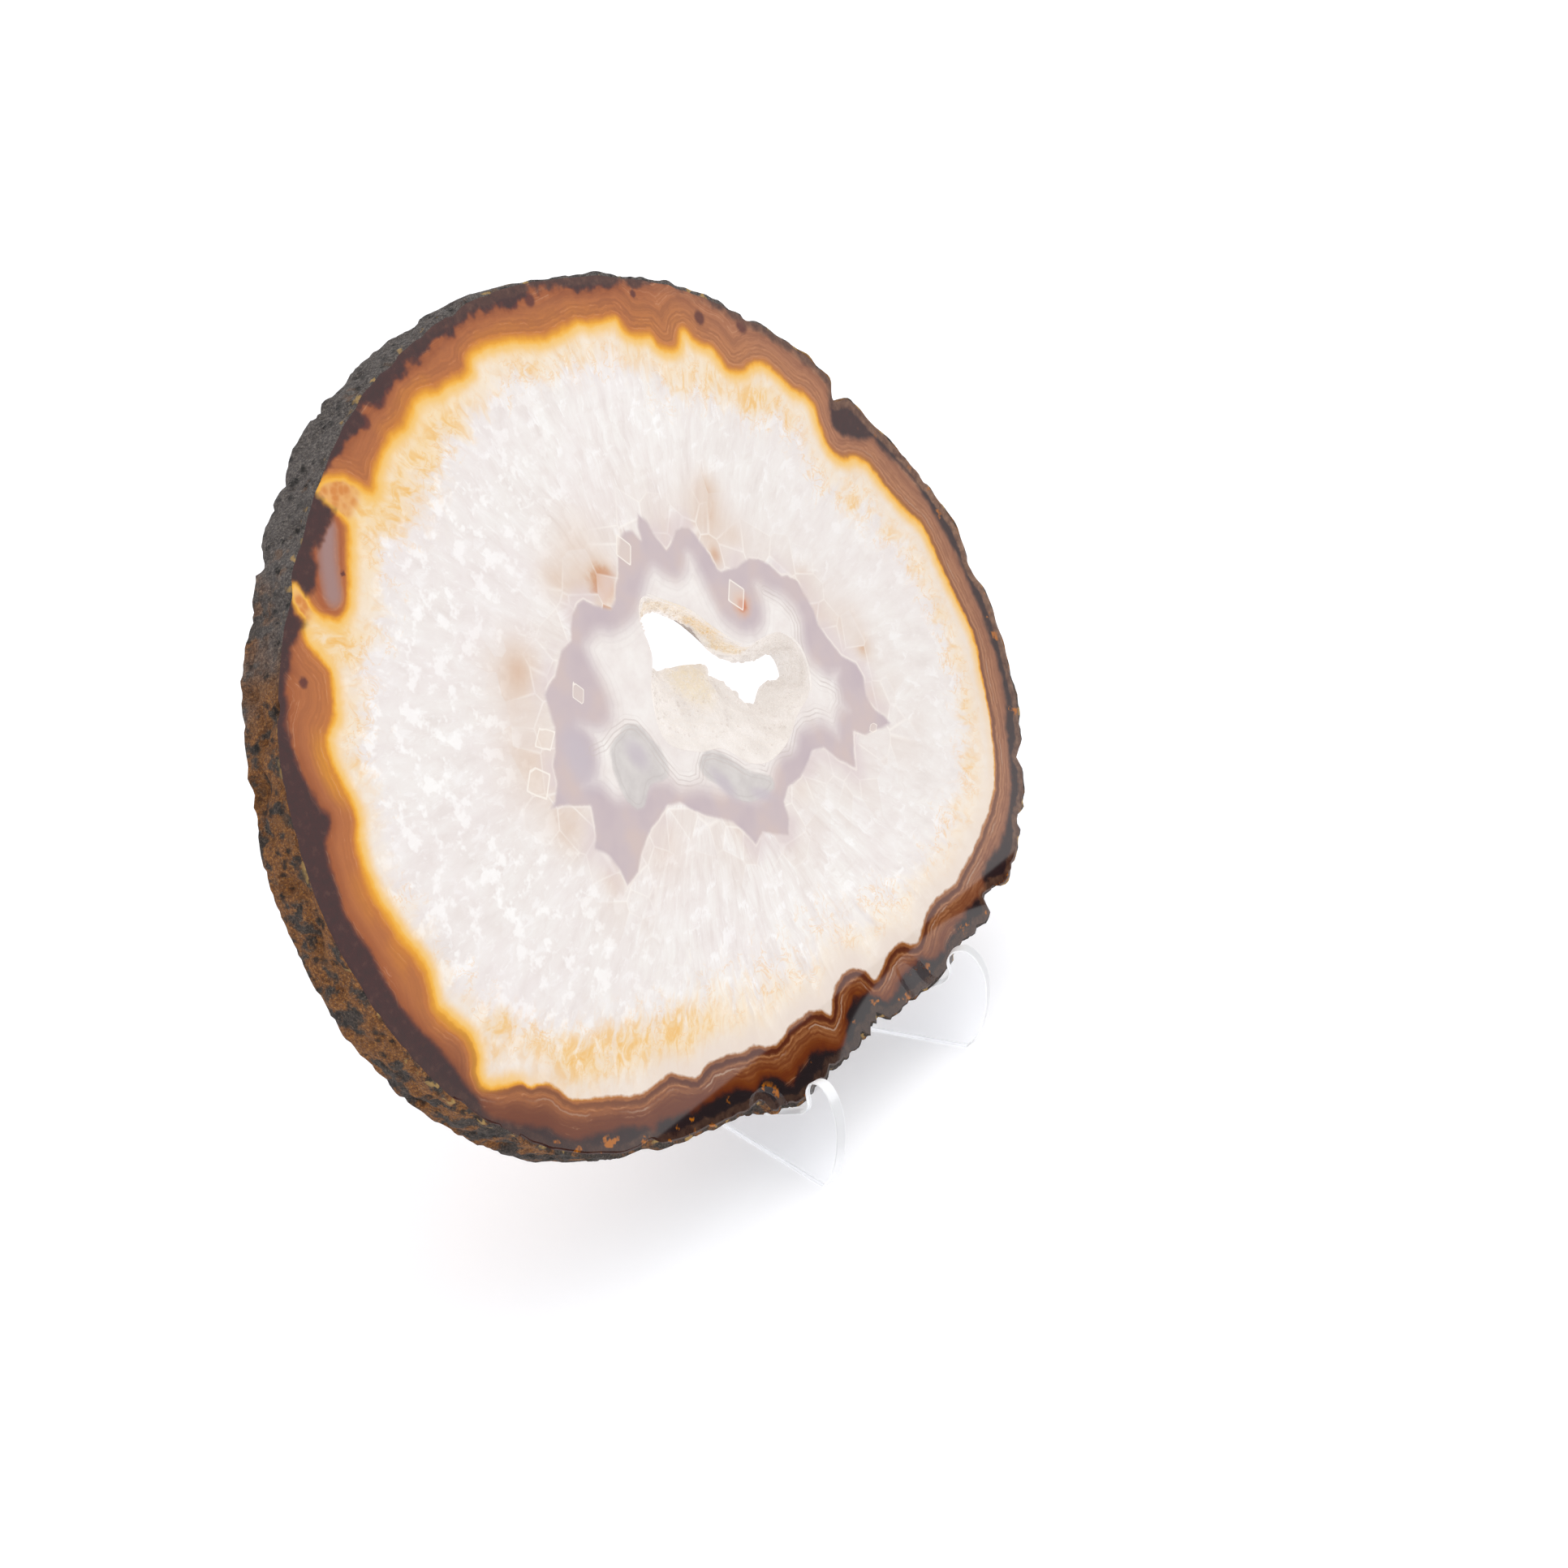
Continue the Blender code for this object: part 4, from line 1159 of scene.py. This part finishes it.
def makeDruseMaterial():
    # The emission is daylight that comes through the crystals.
    material, shader = newMaterial("sugaryQuartz", {"Roughness": 0.3, "IOR": 1.54, "Emission Strength": 0.7})
    place = markOf("place", "Vector")
    cloud = noiseOf(place, 0.25, 4.0, 0.6)
    colour = rampOf(cloud,
                    [(0.3, (0.448, 0.410, 0.383, 1)), (0.5, (0.482, 0.446, 0.418, 1)),
                     (0.7, (0.512, 0.478, 0.455, 1))])
    grains = noiseOf(place, 1.3, 3.0, 0.7)
    for spot, size, strength, stain in drusePlan["stains"]:
        near = ease(gapTo(place, spot), size, size * 0.35, strength)
        colour = mixTint(times(near, ease(grains, 0.35, 0.62, 1.0, 0.35)), colour, stain)
    feed(shader.inputs["Base Color"], colour)
    feed(shader.inputs["Emission Color"], colour)
    addBump(shader, cellsOf(place, 2.6), 0.35, 0.3 * mm)
    return material


def makeAcrylicMaterial(name, roughness, clearness, glow):
    # The glow is light gathered inside the sheet.
    return newMaterial(name, {"Base Color": (0.965, 0.97, 0.98, 1), "Roughness": roughness, "IOR": 1.49,
                              "Transmission Weight": clearness, "Emission Color": (0.95, 0.96, 1.0, 1),
                              "Emission Strength": glow})[0]


roomPlan = {
    "horizon": 0.82,
    "topGain": 0.45,
    "lampPower": 2.0,
    "lampSize": 0.9,
    "lampPlace": (0.75, 0.25, 1.5),
}
# Found from the photograph, in degrees and millimetres: the view looks at the target, then shifts.
cameraPlan = {
    "azimuth": -58.2,
    "elevation": 30.0,
    "target": (11.0, -12.0, 0.0),
    "distance": 616.05,
    "shift": (1.217, 50.21),
    "lens": 78.3,
}


def makeFloor():
    deselectAll()
    bpy.ops.mesh.primitive_plane_add(size=6)
    floor = bpy.context.object
    floor.name = "studioFloor"
    # The emission is light from below.
    material = newMaterial("whiteSweep", {"Roughness": 0.9, "Base Color": (0.96, 0.96, 0.985, 1),
                                          "Emission Color": (0.96, 0.97, 1.0,
                                                             1), "Emission Strength": 0.11})[0]
    floor.data.materials.append(material)


def makeLights():
    world = bpy.data.worlds.new("softRoom")
    bpy.context.scene.world = world
    world.use_nodes = True
    drawing["tree"] = world.node_tree
    parts = parted(newNode("TexCoord").outputs["Generated"])
    up = parts["Z"]
    glow = scaled(maths("MAXIMUM", up, 0.0), roomPlan["topGain"], roomPlan["horizon"])
    # A dark gap low in the room, which the polished face mirrors along its lower edge.
    heading = maths("ARCTAN2", parts["Y"], parts["X"])
    top = scaled(heading, -0.1, -0.0424)
    below = ease(minus(up, top), 0.0003, -0.0003)
    # A round pale shape cuts into the gap from below.
    side = minus(maths("ABSOLUTE", plus(heading, 0.751)), 0.008)
    side = maths("POWER", maths("MAXIMUM", side, 0.0), 2.0)
    dome = scaled(side, -13.0, 0.0288)
    gap = times(below, ease(minus(up, dome), -0.0003, 0.0003), ease(up, -0.02, -0.01),
                window(heading, -1.1, -0.95, -0.5, -0.65))
    glow = plus(glow, ease(up, 0.075, 0.035, 0.4))
    glow = times(glow, scaled(gap, -0.94, 1.0))
    glow = maths("MAXIMUM", glow, newNode("LightPath").outputs["Is Camera Ray"])
    background = world.node_tree.nodes["Background"]
    feed(background.inputs["Strength"], glow)
    background.inputs["Color"].default_value = (1, 1, 1, 1)
    lamp = bpy.data.lights.new("softboxRight", "AREA")
    lamp.shape = "RECTANGLE"
    lamp.size = roomPlan["lampSize"]
    lamp.size_y = roomPlan["lampSize"]
    lamp.energy = roomPlan["lampPower"]
    box = bpy.data.objects.new("softboxRight", lamp)
    bpy.context.scene.collection.objects.link(box)
    box.location = roomPlan["lampPlace"]
    box.rotation_euler = (Vector((0, 0, 0.05)) - box.location).to_track_quat("-Z", "Y").to_euler()


def makeCamera():
    azimuth = math.radians(cameraPlan["azimuth"])
    elevation = math.radians(cameraPlan["elevation"])
    level = math.cos(elevation)
    back = Vector((math.sin(azimuth) * level, -math.cos(azimuth) * level, math.sin(elevation)))
    right = Vector((math.cos(azimuth), math.sin(azimuth), 0))
    up = back.cross(right)
    aside, above = cameraPlan["shift"]
    place = Vector(cameraPlan["target"]) + cameraPlan["distance"] * back + aside * right + above * up
    lens = bpy.data.cameras.new("photoCamera")
    lens.lens = cameraPlan["lens"]
    lens.sensor_width = 36
    lens.clip_start = 0.01
    lens.clip_end = 50
    camera = bpy.data.objects.new("photoCamera", lens)
    bpy.context.scene.collection.objects.link(camera)
    turn = Matrix((right, up, back)).transposed().to_4x4()
    camera.matrix_world = Matrix.Translation(place * mm) @ turn
    bpy.context.scene.camera = camera


bpy.context.scene.view_settings.view_transform = "Standard"
makeCamera()
makeLights()
makeFloor()
print("camera, lights and floor are set")

druseMaterial = makeDruseMaterial()
agateSlice = makeSlice()
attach(agateSlice, "root")
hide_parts("agate_slice")
print("slice:", len(agateSlice.data.polygons), "faces")

quartzDruse = makeDruse()
quartzDruse.data.materials.append(druseMaterial)
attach(quartzDruse, "root")
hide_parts("quartz_crust")
print("druse:", len(quartzDruse.data.polygons), "faces")

clearStand = makeStand()
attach(clearStand, "root")
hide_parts("display_stand")
print("stand:", len(clearStand.data.polygons), "faces")
